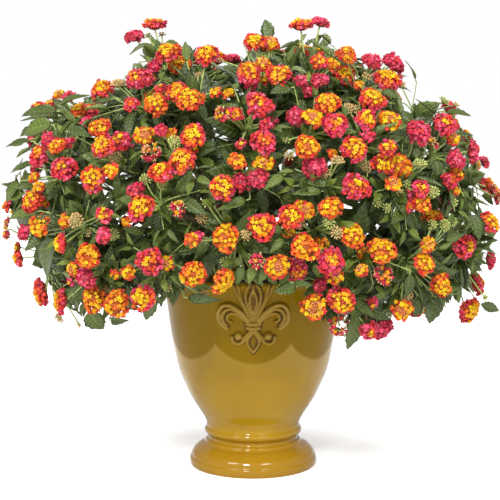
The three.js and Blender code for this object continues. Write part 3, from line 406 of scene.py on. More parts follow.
attributeKeys = {"FLOAT": "value", "INT": "value", "FLOAT_VECTOR": "vector", "FLOAT_COLOR": "color"}


def putAttribute(mesh, name, kind, values, domain="POINT"):
    layer = mesh.attributes.new(name, kind, domain)
    numbers = np.array(values, dtype=np.int32 if kind == "INT" else np.float32)
    layer.data.foreach_set(attributeKeys[kind], numbers.reshape(-1))


def growStems(name, paths, sides, finish):
    # Each path is a list of (place, radius).
    places, edges, girths = [], [], []
    for path in paths:
        for i, (place, radius) in enumerate(path):
            if i:
                edges.append((len(places) - 1, len(places)))
            places.append(place)
            girths.append(radius)
    mesh = bpy.data.meshes.new(name)
    mesh.from_pydata(places, edges, [])
    putAttribute(mesh, "girth", "FLOAT", girths)
    item = grown(addObject(name, mesh), trees["stems"], Sides=sides, Finish=finish)
    for face in item.data.polygons:
        face.use_smooth = True
    return item


pointKinds = {"turn": "FLOAT_VECTOR", "size": "FLOAT_VECTOR", "kind": "INT", "tone": "FLOAT",
              "lobeColour": "FLOAT_COLOR", "eyeColour": "FLOAT_COLOR"}


def scatter(name, shapes, points, finish):
    # Each point is a dictionary: place, turn, size, kind, and what the finish reads.
    mesh = bpy.data.meshes.new(name)
    mesh.from_pydata([point["place"] for point in points], [], [])
    for key, kind in pointKinds.items():
        if key in points[0]:
            putAttribute(mesh, key, kind, [point[key] for point in points])
    return grown(addObject(name, mesh), trees["scatter"], Shapes=shapes, Finish=finish)


def shapeSet(name, items):
    # Shapes to pick from, kept out of the scene.
    group = bpy.data.collections.new(name)
    for item in items:
        bpy.context.scene.collection.objects.unlink(item)
        group.objects.link(item)
    return group


# what the solids say: heads, hubs, leaves and stems, read from their corners

def cornersOf(name):
    shape = bmesh.new()
    shape.from_mesh(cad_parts[name].data)
    bmesh.ops.remove_doubles(shape, verts=shape.verts, dist=1e-5)
    shape.verts.index_update()
    places = [vertex.co.copy() for vertex in shape.verts]
    links = [{edge.other_vert(vertex).index for edge in vertex.link_edges}
             for vertex in shape.verts]
    shape.free()
    return places, links


def middleOf(places):
    return sum(places, Vector()) / len(places)


def nextRing(ring, before, links):
    return {other for corner in ring for other in links[corner]} - before


# Lengths that tell one form of the solids from the next, in metres, and a head's crest heights.
marks = {"hubBunch": 0.0075, "hubReach": 0.0078, "hubEdge": 0.008, "leafTip": 0.005,
         "stemBunch": 0.0079, "hubNear": 0.012, "girth": 0.72}
crests = {"bud": 0.65, "old": 0.425, "pink": 0.485, "plain": 0.52}
frontSprays = 27
crownMiddle = Vector((0, 0, 0.348))


def readSpray(name):
    # A head is a crest corner inside a ring of n corners, a rim of 2n and a foot of 3.
    places, links = cornersOf(name)
    heads, used = [], set()
    for top, ring in enumerate(links):
        if not 3 <= len(ring) <= 5:
            continue
        rim = nextRing(ring, ring | {top}, links)
        foot = nextRing(rim, rim | ring | {top}, links)
        if len(rim) != 2 * len(ring) or len(foot) != 3:
            continue
        middle = middleOf([places[i] for i in rim])
        axis = (places[top] - middle).normalized()
        radius = max((places[i] - middle - axis * (places[i] - middle).dot(axis)).length
                     for i in rim)
        centre = middle - axis * radius * 0.03
        heads.append({"back": int(name[-2:]) > frontSprays, "centre": centre, "axis": axis,
                      "radius": radius,
                      "crest": (places[top] - centre).dot(axis) / radius,
                      "foot": middleOf([places[i] for i in foot]), "ring": foot})
        used |= rim | ring | {top} | foot
    rest = [i for i in range(len(places)) if i not in used]
    core = max(rest, key=lambda i: sum((places[i] - places[j]).length < marks["hubBunch"]
                                       for j in rest))
    hub = middleOf([places[j] for j in rest
                    if (places[core] - places[j]).length < marks["hubReach"]])
    for head in heads:
        beyond = nextRing(head.pop("ring"), used, links)
        bow = [i for i in beyond if (places[i] - hub).length > marks["hubEdge"]]
        head["bow"] = middleOf([places[i] for i in bow]) if len(bow) == 3 else None
        head["hub"] = hub
    return heads, hub


def readLeaf(tip, places, links):
    # Rings of three from the tip back to the foot: ridge, right and left edge.
    rings, before, ring = [], {tip}, links[tip]
    while len(ring) == 3 and len(rings) < 5:
        rings.append(ring)
        before |= ring
        ring = nextRing(ring, before, links)
    if len(rings) not in (2, 4):
        return None
    short = len(rings) == 2
    widest = sorted(rings[0 if short else 1])
    a, b = max(((i, j) for i in widest for j in widest if i < j),
               key=lambda pair: (places[pair[0]] - places[pair[1]]).length)
    ridge = next(i for i in widest if i not in (a, b))
    up = (places[ridge] - between(places[a], places[b], 0.5)).normalized()
    foot = middleOf([places[i] for i in rings[1 if short else 2]])
    length = (places[tip] - foot).length
    along = (places[tip] + up * 0.09 * length - foot).normalized()
    heel = None if short else middleOf([places[i] for i in rings[3]])
    return {"foot": foot, "along": along, "up": squareTo(along, up), "length": length,
            "width": (places[a] - places[b]).length, "heel": heel,
            "base": middleOf([places[i] for i in ring]), "corners": before}


def readBranch(name):
    # Leaves end in a lone tip; what is left is stem, a bunch of corners at each cut.
    places, links = cornersOf(name)
    leaves, used = [], set()
    for tip, ring in enumerate(links):
        reach = min(((places[tip] - places[i]).length for i in ring), default=0)
        made = len(ring) == 3 and reach > marks["leafTip"] and readLeaf(tip, places, links)
        if made:
            leaves.append(made)
            used |= made.pop("corners")
    bunch = {i: i for i in range(len(places)) if i not in used}

    def rootOf(i):
        while bunch[i] != i:
            i = bunch[i]
        return i

    for i in bunch:
        for j in links[i]:
            if j in bunch and (places[i] - places[j]).length < marks["stemBunch"]:
                bunch[rootOf(i)] = rootOf(j)
    groups = {}
    for i in bunch:
        groups.setdefault(rootOf(i), []).append(i)
    middles = {key: middleOf([places[i] for i in group]) for key, group in groups.items()}
    girths = {key: sum((places[i] - middles[key]).length for i in group) / len(group)
              * marks["girth"] for key, group in groups.items()}
    joins = {key: {rootOf(j) for i in group for j in links[i] if j in bunch} - {key}
             for key, group in groups.items()}
    return leaves, middles, girths, joins


def smoothPath(path, step):
    # A soft curve through the places of a path, with its radius eased between them.
    places = [place for place, _ in path]
    ends = [places[0] * 2 - places[1], *places, places[-1] * 2 - places[-2]]
    result = []
    for i in range(len(places) - 1):
        a, b, c, d = ends[i:i + 4]
        count = max(1, round((c - b).length / step))
        for k in range(count):
            t = k / count
            place = (b * 2 + (c - a) * t + (a * 2 - b * 5 + c * 4 - d) * t ** 2
                     + (b * 3 - a - c * 3 + d) * t ** 3) / 2
            result.append((place, between(path[i][1], path[i + 1][1], t)))
    return result + [path[-1]]


def stemPaths(middles, girths, joins, hubs):
    # Follows a branch from the crown outwards; at a fork the straightest way goes on.
    base = min(middles, key=lambda key: (middles[key] - crownMiddle).length)
    paths, waiting, visited = [], [(base, [])], {base}
    while waiting:
        key, path = waiting.pop()
        path = path or [(middles[key], girths[key])]
        while True:
            ways = [other for other in joins[key] if other not in visited]
            if not ways:
                break
            run = middles[key] - path[-2][0] if len(path) > 1 else middles[key]
            ways.sort(key=lambda other: -(middles[other] - middles[key]).normalized()
                      .dot(run.normalized()))
            visited.update(ways)
            for other in ways[1:]:
                waiting.append((other, [(middles[key], girths[other] * 0.9),
                                        (middles[other], girths[other])]))
            key = ways[0]
            path.append((middles[key], girths[key]))
        near = min(hubs, key=lambda hub: (hub - path[-1][0]).length)
        if (near - path[-1][0]).length < marks["hubNear"]:
            path.append((near, path[-1][1] * 0.8))
        if len(path) > 1:
            paths.append(path)
    return paths


branchNodes = sorted(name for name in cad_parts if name.startswith("branch"))
sprayNodes = sorted(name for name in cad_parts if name.startswith("spray"))
heads, hubs, leaves, stems, petioles = [], [], [], [], []
for name in sprayNodes:
    found, hub = readSpray(name)
    heads += found
    hubs.append(hub)
for name in branchNodes:
    found, middles, girths, joins = readBranch(name)
    leaves += found
    stems += stemPaths(middles, girths, joins, hubs)
    for leaf in found:
        near = min(middles.values(), key=lambda place: (place - leaf["base"]).length)
        petioles.append([place for place in (near, leaf["heel"], leaf["foot"]) if place])
print("read", len(heads), "heads,", len(hubs), "hubs,", len(leaves), "leaves,", len(stems), "stems")


# the glazed pot, turned from its outline, with the lily raised on its front

pot = {"finePart": 29, "fineStep": 0.7, "coarseStep": 4.5, "fineFrom": 180, "fineTo": 301,
       "rowStep": 1.3, "plainStep": 8, "throwLines": (157, 150), "lineDepth": 0.35,
       "lineWidth": 1.1, "lineRoom": 6, "bowlFrom": 110, "lilyFrom": 100, "plainLip": 8}
potOutside = [(98.6, 0), (100, 3), (100.6, 8), (100.2, 12.2), (98, 13.2), (97.6, 18.5),
              (93.6, 25.2), (85.5, 31.4), (75.8, 35), (75.2, 39.4), (69.8, 40.4), (69.6, 46.4),
              (74.4, 49), (77.4, 53), (77.2, 57.4), (72.8, 61.4), (76, 73), (89, 92), (101, 111),
              (110, 131), (116, 143), (122, 162), (132, 214), (139.5, 272), (141.5, 288),
              (146.5, 292), (147, 297), (143, 300), (137, 299.4), (134, 292)]
potInside = [(134, 292), (131, 270), (125, 222), (110, 155), (76, 88), (9, 72)]
potBelow = [(9, 72), (9, 58), (52, 56), (62, 42), (88, 8), (88, 0), (98.6, 0)]

# The lily as it shows on the upright plane through the pot's middle: half width, height, and a
# line of places. Both sides are alike, so only the right one is drawn.
lily = {"scale": 0.92, "wide": 0.885, "raise": 36, "flank": 1.15, "bed": 1.7, "bedWidth": 2.6,
        "grooveAt": 1.8, "grooveWidth": 1.6, "grooveReach": 2.2, "ridgeFrom": 3.2, "ridgeTo": 5.6}
lilyMiddle = [
    (4.2, 3.2, [(0, 226), (0, 240), (0, 262), (0, 284)]),
    (2.2, 5.6, [(0, 236), (4.8, 250), (5.2, 262), (0, 275)]),
    (2.4, 5.2, [(1, 230), (8, 246), (12.5, 262), (11, 274), (4, 287)]),
    (3.4, 5.6, [(-10.5, 220.5), (0, 219.4), (10.5, 220.5)]),
    (3.2, 5.6, [(-10, 213.6), (0, 212.6), (10, 213.6)]),
    (4.6, 4.6, [(-3, 227), (3, 227)]),
    (2.2, 5.4, [(0, 208), (5.5, 200), (10, 191), (6, 181), (0, 173.5)]),
    (4.2, 3.2, [(0, 203), (0, 190), (0, 180)]),
]
lilySide = [
    (2.5, 4.8, [(5, 229), (13, 246), (20, 262), (26, 284)]),
    (2.3, 4.4, [(6, 229), (18, 250), (27, 268), (33, 284)]),
    (3.4, 6.0, [(8, 226), (21, 240), (37, 249.5), (50, 248), (56.5, 238), (56.5, 226),
                (50, 216.5), (43, 212.5)]),
    (2.8, 5.6, [(8, 224), (20, 235.5), (34, 243.5), (45, 241.5), (50.5, 233), (49, 224), (44, 217)]),
    (2.6, 5.2, [(9, 222), (20, 231), (33, 237), (41.5, 233.5), (42.5, 226.5), (37, 223)]),
    (2.8, 5.2, [(4, 209), (10, 199), (17, 191), (25, 187), (33, 190.5), (35, 198)]),
    (2.2, 4.6, [(7, 207), (13, 200.5), (18, 195)]),
]
lilyBoss = (24.5, 199.5, 6.8, 6.2)


def rounded(outline, times):
    # Cuts the corners of a turned outline, and keeps its ends.
    for _ in range(times):
        cut = [outline[0]]
        for a, b in zip(outline, outline[1:]):
            cut += [(a[0] * 0.75 + b[0] * 0.25, a[1] * 0.75 + b[1] * 0.25),
                    (a[0] * 0.25 + b[0] * 0.75, a[1] * 0.25 + b[1] * 0.75)]
        outline = cut + [outline[-1]]
    return outline


def refined(outline):
    # Adds rows where the lily needs them.
    rows = [outline[0]]
    for a, b in zip(outline, outline[1:]):
        fine = pot["fineFrom"] < max(a[1], b[1]) and min(a[1], b[1]) < pot["fineTo"]
        near = fine or any(min(a[1], b[1]) - pot["lineRoom"] < line
                           < max(a[1], b[1]) + pot["lineRoom"] for line in pot["throwLines"])
        step = pot["rowStep"] if near else pot["plainStep"]
        count = max(1, math.ceil(math.dist(a, b) / step))
        rows += [(between(a[0], b[0], k / count), between(a[1], b[1], k / count))
                 for k in range(1, count + 1)]
    return rows


def distanceTo(line, across, up):
    # How far places are from a line of points, for whole arrays.
    best = np.full(across.shape, 1e9)
    for (x0, y0), (x1, y1) in zip(line, line[1:]):
        dx, dy = x1 - x0, y1 - y0
        share = np.clip(((across - x0) * dx + (up - y0) * dy) / (dx * dx + dy * dy), 0, 1)
        best = np.minimum(best, np.hypot(across - x0 - share * dx, up - y0 - share * dy))
    return best


def softLine(line):
    # A drawn line with its corners eased.
    path = smoothPath([(Vector((x, y, 0)), 0) for x, y in line], 2.0)
    return [(place.x, place.y) for place, _ in path]


def lilyStrokes(across):
    # Every stroke with the places that it is measured from: the true ones, or those folded over
    # to the right side.
    side = np.abs(across)
    strokes = [(half, lift, softLine(line), across) for half, lift, line in lilyMiddle]
    strokes += [(half, lift, softLine(line), side) for half, lift, line in lilyMiddle
                if line[2 if len(line) > 2 else 0][0] > 1]
    return strokes + [(half, lift, softLine(line), side) for half, lift, line in lilySide]


def lilyHeight(across, up):
    # The relief's height above the bowl in millimetres, and how much groove and ridge show.
    height, crowd = np.zeros(across.shape), np.zeros(across.shape)
    reach = np.full(across.shape, 1e9)
    for half, lift, line, where in lilyStrokes(across):
        away = distanceTo(line, where, up)
        reach = np.minimum(reach, away - half)
        crowd += away - half < lily["bedWidth"]
        swell = np.sqrt(np.clip(1 - (away / (half * lily["flank"])) ** 2, 0, 1))
        height = np.maximum(height, lift * swell)
    bossAcross, bossUp, bossRadius, bossLift = lilyBoss
    away = np.hypot(np.abs(across) - bossAcross, up - bossUp)
    reach = np.minimum(reach, away - bossRadius)
    crowd += away - bossRadius < lily["bedWidth"]
    height = np.maximum(height, bossLift * np.sqrt(np.clip(1 - (away / bossRadius) ** 2, 0, 1)))
    slope = np.clip(1 - np.clip(reach, 0, None) / lily["bedWidth"], 0, 1)
    raised = np.maximum(height, lily["bed"] * slope ** 0.6)
    hollow = np.clip(1.35 - np.abs(raised - lily["grooveAt"]) / lily["grooveWidth"], 0, 1)
    hollow *= (reach < lily["grooveReach"]) * np.clip(crowd - 1, 0.2, 1)
    ridge = (raised - lily["ridgeFrom"]) / (lily["ridgeTo"] - lily["ridgeFrom"])
    return raised, hollow, np.clip(ridge, 0, 1)


def makePot():
    outside = refined(rounded(potOutside, 2))
    rows = outside + rounded(potInside, 1)[1:] + rounded(potBelow, 1)[1:-1]
    edge = pot["finePart"]
    coarse = round((360 - 2 * edge) / pot["coarseStep"])
    angles = list(np.arange(-edge, edge + 0.01, pot["fineStep"]))
    angles += [edge + (360 - 2 * edge) * k / coarse for k in range(1, coarse)]
    turns = np.radians(np.array(angles))[None, :]
    radii = np.array([row[0] for row in rows])[:, None]
    heights = np.array([row[1] for row in rows])[:, None] + turns * 0
    lift, hollow, ridge = lilyHeight(radii * np.sin(turns) / lily["wide"],
                                     (heights - lily["raise"]) / lily["scale"])
    front = (np.cos(turns) > 0) * np.ones(heights.shape) * (radii > pot["lilyFrom"])
    front[len(outside) - pot["plainLip"]:] = 0
    lift, hollow, ridge = lift * front, hollow * front, ridge * front
    for line in pot["throwLines"]:
        groove = np.exp(-((heights - line) / pot["lineWidth"]) ** 2) * (radii > pot["bowlFrom"])
        groove[len(outside):] = 0
        lift = lift - pot["lineDepth"] * groove
    reach = radii + lift
    places = np.stack([reach * np.sin(turns), -reach * np.cos(turns), heights], axis=-1) * mm
    count, wide = len(rows), len(angles)
    faces = [(i * wide + j, i * wide + (j + 1) % wide, (i + 1) % count * wide + (j + 1) % wide,
              (i + 1) % count * wide + j) for i in range(count) for j in range(wide)]
    item = meshObject("glazedPot", places.reshape(-1, 3).tolist(), faces)
    putAttribute(item.data, "hollow", "FLOAT", hollow)
    putAttribute(item.data, "ridge", "FLOAT", ridge)
    item.data.materials.append(finishes["glaze"])
    return item


def cappedFaces(rings, sides):
    # The faces of a closed shape: a foot corner, rings of corners and a top corner.
    faces, top = [], 1 + rings * sides
    for i in range(sides):
        after = (i + 1) % sides
        faces.append((0, 1 + after, 1 + i))
        faces += [(low + i, low + after, low + sides + after, low + sides + i)
                  for low in range(1, top - sides, sides)]
        faces.append((top - sides + i, top - sides + after, top))
    return faces


def turnedShape(name, profile, columns, ruffle, seed):
    # A closed shape turned from its profile, roughened inwards.
    places = [Vector((0, 0, profile[0][1]))]
    for radius, height in profile[1:-1]:
        for i in range(columns):
            angle = 2 * math.pi * i / columns
            place = Vector((radius * math.cos(angle), radius * math.sin(angle), height))
            rough = noise.noise(place * 0.09 + Vector((seed, 0, 0))) * 0.5 + 0.5
            places.append(Vector((place.x * (1 - ruffle[0] * rough),
                                  place.y * (1 - ruffle[0] * rough), height - ruffle[1] * rough)))
    places.append(Vector((0, 0, profile[-1][1] - ruffle[1] * 0.5)))
    return meshObject(name, [place * mm for place in places],
                      cappedFaces(len(profile) - 2, columns))


def makeSoil():
    profile = [(0, 76), (74, 88.4), (108, 155.3), (124, 222.3), (130.4, 270), (132.6, 283)]
    profile += [(132.6 - step * 6.0, 284) for step in range(1, 19)]
    item = turnedShape("soilBed", profile + [(0, 284)], 72, (0.004, 3.5), 3)
    item.data.materials.append(finishes["earth"])
    return item


def makeCrown():
    profile = rounded([(0, 252.3), (15.5, 252.3), (15, 284), (17, 312), (26, 324), (33, 342),
                       (32.5, 360), (22, 377), (0, 381.5)], 2)
    item = turnedShape("woodyCrown", profile, 40, (0.07, 1.0), 9)
    putAttribute(item.data, "girth", "FLOAT", [0.004] * len(item.data.vertices))
    item.data.materials.append(finishes["bark"])
    return item


glazedPot, soilBed, woodyCrown = makePot(), makeSoil(), makeCrown()
print("pot turned")


# small shapes that repeat: leaf blades, florets, buds

blade = {"rows": 5, "teeth": 9, "quilt": 0.016, "quiltAt": 0.52, "keel": -0.028,
         "veinedFrom": 0.02, "narrowest": 0.2}
bladeStalk = [(0.02, -0.16, -0.01), (-0.02, -0.16, -0.01), (0, -0.16, -0.035),
              (0.02, 0.03, -0.002), (-0.02, 0.03, -0.002), (0, 0.03, -0.03)]
stalkFaces = [(0, 1, 4), (0, 4, 3), (1, 2, 5), (1, 5, 4), (2, 0, 3), (2, 3, 5), (0, 2, 1), (3, 4, 5)]


def bladeHalf(along):
    # Half the width of a blade that is one long and one wide.
    return 1.75 * along ** 0.65 * (1 - along) ** 1.35


def leafShape(name, fold, arch, twist):
    # A toothed blade, quilted on top and keeled below, with its short stalk.
    rows, teeth = blade["rows"], blade["teeth"]
    steps = [(i + 0.5) / rows for i in range(rows)]
    notches = [((j + 0.6) / (teeth + 0.2), j % 2) for j in range(teeth)]

    def at(x, along, lift=0):
        roll = twist * along
        rise = (fold * abs(x) * (1 - 0.5 * along)
                + arch * (math.sin(math.pi * along) - 0.85 * along * along) + lift)
        return (x * math.cos(roll) - rise * math.sin(roll) * 0.3, along,
                rise + x * math.sin(roll))

    places, faces, under = [at(0, 0), at(0, 1)], [], []

    def addPlaces(more):
        places.extend(more)
        return range(len(places) - len(more), len(places))

    def addFace(a, b, c, below=0):
        faces.append((a, b, c) if (side > 0) != bool(below) else (a, c, b))
        under.append(below)

    spine = addPlaces([at(0, along) for along in steps])
    keel = addPlaces([at(0, along, blade["keel"]) for along in steps])
    for side in (1, -1):
        inner = addPlaces([at(side * blade["quiltAt"] * bladeHalf(along), along, blade["quilt"])
                           for along in steps])
        edge = addPlaces([at(side * bladeHalf(along) * (1.05 if tooth else 0.93),
                             along + (0.02 if tooth else 0)) for along, tooth in notches])
        for i in range(rows - 1):
            addFace(spine[i], inner[i], inner[i + 1])
            addFace(spine[i], inner[i + 1], spine[i + 1])
        for low, below in ((inner, 0), (keel, 1)):
            i = j = 0
            while i < rows - 1 or j < teeth - 1:
                if j < teeth - 1 and (i == rows - 1 or (j + 1) / teeth <= (i + 0.8) / rows):
                    addFace(low[i], edge[j], edge[j + 1], below)
                    j += 1
                else:
                    addFace(low[i], edge[j], low[i + 1], below)
                    i += 1
        addFace(0, inner[0], spine[0])
        addFace(0, edge[0], inner[0])
        addFace(0, edge[0], keel[0], 1)
        addFace(1, spine[-1], inner[-1])
        addFace(1, inner[-1], edge[-1])
        addFace(1, keel[-1], edge[-1], 1)
    first = addPlaces(bladeStalk)[0]
    faces += [tuple(first + i for i in face) for face in stalkFaces]
    under += [1] * len(stalkFaces)
    item = meshObject(name, places, faces)
    bpy.context.view_layer.update()
    onBlade = []
    for x, along, _ in places:
        wide = 2 * bladeHalf(clamp(along, blade["veinedFrom"], 1 - blade["veinedFrom"]))
        share = 0 if along < 0.001 else 2 * x / max(blade["narrowest"], wide)
        onBlade.append((share, along, 0))
    putAttribute(item.data, "blade", "FLOAT_VECTOR", onBlade)
    putAttribute(item.data, "under", "FLOAT", under, "FACE")
    return item


def floretShape(name, lobes, cup, curl, outline):
    # A small flat flower, one from its middle to a lobe's tip, with its tube below.
    places, reach, faces = [(0, 0, -0.16)], [0.0], []
    for i in range(lobes):
        for turn, far, rise in outline:
            angle = 2 * math.pi * (i + turn) / lobes
            places.append((far * math.cos(angle), far * math.sin(angle),
                           cup * far + rise - curl * (far > 0.8)))
            reach.append(far)
    count = lobes * len(outline)
    places.append((0, 0, -2.4))
    reach.append(0.5)
    for j in range(count):
        a, b = 1 + j, 1 + (j + 1) % count
        faces += [(0, a, b), (b, a, count + 1)]
    item = meshObject(name, places, faces, False)
    putAttribute(item.data, "reach", "FLOAT", reach)
    return item


def budShape(name, belly, sides):
    # A closed bud, one long above its foot.
    places, reach = [(0, 0, -0.5)], [0.0]
    for height, far in ((-0.1, 0.55 * belly), (0.62, belly)):
        for i in range(sides):
            angle = 2 * math.pi * i / sides
            places.append((far * math.cos(angle), far * math.sin(angle), height))
            reach.append(0.35 + 0.5 * height)
    item = meshObject(name, places + [(0, 0, 1)], cappedFaces(2, sides))
    putAttribute(item.data, "reach", "FLOAT", reach + [1.0])
    return item


def coreShape(name, sides, rows):
    # A plain ball under the florets of a head, where their tubes stand close.
    places, faces = [(0, 0, -1)], []
    for row in range(1, rows):
        angle = math.pi * row / rows
        places += [(math.sin(angle) * math.cos(2 * math.pi * i / sides),
                    math.sin(angle) * math.sin(2 * math.pi * i / sides), -math.cos(angle))
                   for i in range(sides)]
    top = len(places)
    places.append((0, 0, 1))
    for i in range(sides):
        after = (i + 1) % sides
        faces.append((0, 1 + after, 1 + i))
        faces.append((top, top - sides + i, top - sides + after))
        for row in range(rows - 2):
            low = 1 + row * sides
            faces.append((low + i, low + after, low + sides + after, low + sides + i))
    item = meshObject(name, places, faces)
    putAttribute(item.data, "reach", "FLOAT", [1.0] * len(places))
    return item


# A lobe's outline: turn from its middle, as a share of a lobe, then how far out and how high.
roundLobe = ((-0.24, 0.98, 0), (0.2, 1.04, 0), (0.5, 0.42, -0.1))
plainLobe = ((0, 1.1, 0), (0.5, 0.48, -0.12))
skewLobe = ((-0.1, 1.1, 0), (0.36, 0.56, 0.02))
leafShapes = shapeSet("leaf shapes", [leafShape("leafA", 0.28, 0.06, 0.0),
                                      leafShape("leafB", 0.1, 0.1, 0.35),
                                      leafShape("leafC", 0.42, 0.02, -0.3)])
floretShapes = shapeSet("floret shapes", [floretShape("floretA", 5, 0.1, 0.06, skewLobe),
                                          floretShape("floretB", 4, 0.2, 0.0, roundLobe),
                                          floretShape("floretC", 5, 0.0, 0.1, plainLobe),
                                          coreShape("floretD", 9, 6)])
budShapes = shapeSet("bud shapes", [budShape("budA", 0.4, 4), budShape("budB", 0.33, 4),
                                    coreShape("budC", 8, 5)])
print("small shapes cut")


# the plant's outline as it shows from the front: nothing green stands above one line or below
# the other, in millimetres across and up

crestLine = [(-404, 492), (-396, 512), (-373, 560), (-357, 580), (-317, 588), (-285, 582),
             (-261, 592), (-245, 604), (-213, 618), (-190, 640), (-180, 690), (-165, 708),
             (-141, 700), (-134, 676), (-109, 676), (-100, 662), (-69, 668), (-60, 640),
             (-30, 640), (-20, 664), (-13, 690), (14, 712), (30, 682), (40, 662), (62, 662),
             (72, 700), (107, 712), (124, 684), (138, 664), (171, 652), (211, 652), (224, 606),
             (234, 564), (262, 550), (285, 554), (300, 576), (320, 580), (347, 556), (356, 524),
             (362, 480), (368, 430), (384, 414), (400, 400)]
hemLine = [(-404, 404), (-372, 360), (-345, 326), (-330, 300), (-318, 262), (-306, 236),
           (-270, 220), (-240, 218), (-205, 234), (-170, 236), (-130, 252), (-90, 259),
           (-50, 263), (-25, 284), (0, 288), (30, 281), (60, 266), (88, 240), (118, 208),
           (150, 192), (200, 190), (230, 222), (300, 219), (372, 238), (400, 270)]
# Gaps that the backdrop shows through: across, up, half width and half height.
openings = [(380, 446, 30, 34), (-330, 462, 14, 8), (-196, 386, 9, 9), (-352, 478, 10, 14)]
# The plant's rounded surface, the lower edge of its back and the room it leaves the pot.
dome = {"middle": 0.390, "across": 0.388, "deep": 0.352, "up": 0.322, "down": 0.232}
backHem = {"from": 0.1, "height": 232}
potRoom = {"radius": 0.156, "top": 0.312}


def domeParts(place):
    rise = place.z - dome["middle"]
    return rise, dome["up"] if rise > 0 else dome["down"]


def domeScale(place):
    # How far out a place is: 1 on the plant's rounded surface.
    rise, tall = domeParts(place)
    return math.sqrt((place.x / dome["across"]) ** 2 + (place.y / dome["deep"]) ** 2
                     + (rise / tall) ** 2)


def domeOut(place):
    rise, tall = domeParts(place)
    return Vector((place.x / dome["across"] ** 2, place.y / dome["deep"] ** 2,
                   rise / tall ** 2)).normalized()


def inOutline(place, room=0):
    across, up = seen(place)
    low = heightAt(hemLine, across) if place.y < backHem["from"] else backHem["height"]
    inside = all(cadBox[0][i] + mm < place[i] < cadBox[1][i] - mm for i in range(3))
    clearOfPot = (math.hypot(place.x, place.y) > potRoom["radius"]
                  or place.z > potRoom["top"])
    inOpening = any(((across - u) / wide) ** 2 + ((up - w) / tall) ** 2 < 1
                    for u, w, wide, tall in openings)
    return (inside and clearOfPot and not inOpening
            and low + room < up < heightAt(crestLine, across) - room)


def stemSpots():
    spots = []
    for path in stems:
        soft = smoothPath(path, 0.012)
        for i in range(1, len(soft)):
            if domeScale(soft[i][0]) > 0.3:
                spots.append((soft[i][0], (soft[i][0] - soft[i - 1][0]).normalized(), soft[i][1]))
    return spots


def spreadPlaces(count, depth, dice):
    # Even places on the plant's surface, drawn inwards by a depth.
    golden = math.pi * (3 - math.sqrt(5))
    for i in range(count):
        z = 1 - 2 * (i + 0.5) / count
        flat, turn = math.sqrt(1 - z * z), golden * i + dice.uniform(-0.2, 0.2)
        pull = 1 - dice.uniform(*depth)
        tall = dome["up"] if z > 0 else dome["down"]
        yield Vector((dome["across"] * flat * math.cos(turn) * pull,
                      dome["deep"] * flat * math.sin(turn) * pull,
                      dome["middle"] + tall * z * pull))


# flower heads: young ones open yellow round their buds, then turn orange, coral and magenta
# from the rim inwards

# Where the stages of bloom show, in millimetres across and up.
stageOf = {
    "young": [(-121, 641), (-157, 573), (-280, 563), (-103, 580), (125, 636), (150, 651),
              (118, 574), (86, 503), (-247, 535), (-228, 466), (-315, 505), (-343, 378),
              (-303, 386), (-265, 330), (-258, 260), (-221, 253), (-200, 303), (-97, 300),
              (-28, 480), (-46, 357), (-100, 355), (-48, 290), (124, 406), (160, 362), (80, 342),
              (234, 474), (270, 414), (325, 464), (283, 393), (205, 338), (273, 315), (301, 283)],
    "mature": [(-183, 612), (-195, 573), (-345, 567), (-258, 563), (130, 538), (10, 570),
               (-213, 514), (-343, 490), (-305, 469), (-168, 320), (17, 511), (162, 439),
               (123, 322), (268, 436), (306, 540), (352, 496), (340, 344), (185, 210)],
    "ring": [(-312, 588), (-328, 571), (28, 671), (15, 636), (216, 547), (94, 550), (-175, 522),
             (-352, 455), (-345, 440), (-290, 308), (-140, 317), (15, 477), (37, 310), (82, 403),
             (224, 445), (318, 518), (172, 307), (280, 347), (237, 242), (98, 247), (130, 300)],
    "classic": [(-158, 700), (-136, 655), (-170, 594), (-243, 596), (-76, 651), (-122, 592),
                (2, 672), (-9, 621), (40, 619), (76, 699), (105, 640), (151, 633), (214, 611),
                (190, 580), (180, 548), (163, 500), (216, 502), (-30, 556), (-98, 522),
                (-114, 482), (-148, 464), (-240, 506), (-257, 453), (-353, 417), (-308, 349),
                (-240, 395), (-308, 257), (-181, 405), (-177, 262), (-50, 438), (12, 376),
                (60, 392), (206, 478), (378, 384), (359, 284), (345, 243), (140, 257)],
}
# Each colour's lobes and eye, and the piece it belongs to.
petals = {
    "yellow": ("yellow", linear(226, 184, 8), linear(230, 158, 8)),
    "gold": ("yellow", linear(226, 162, 8), linear(224, 120, 10)),
    "orange": ("orange", linear(226, 102, 22), linear(234, 156, 30)),
    "coral": ("coral", linear(224, 58, 42), linear(236, 130, 34)),
    "red": ("coral", linear(210, 30, 50), linear(228, 90, 50)),
    "magenta": ("magenta", linear(202, 18, 78), linear(226, 90, 80)),
    "pink": ("magenta", linear(226, 66, 118), linear(240, 140, 110)),
    "plum": ("magenta", linear(156, 14, 54), linear(196, 60, 40)),
}
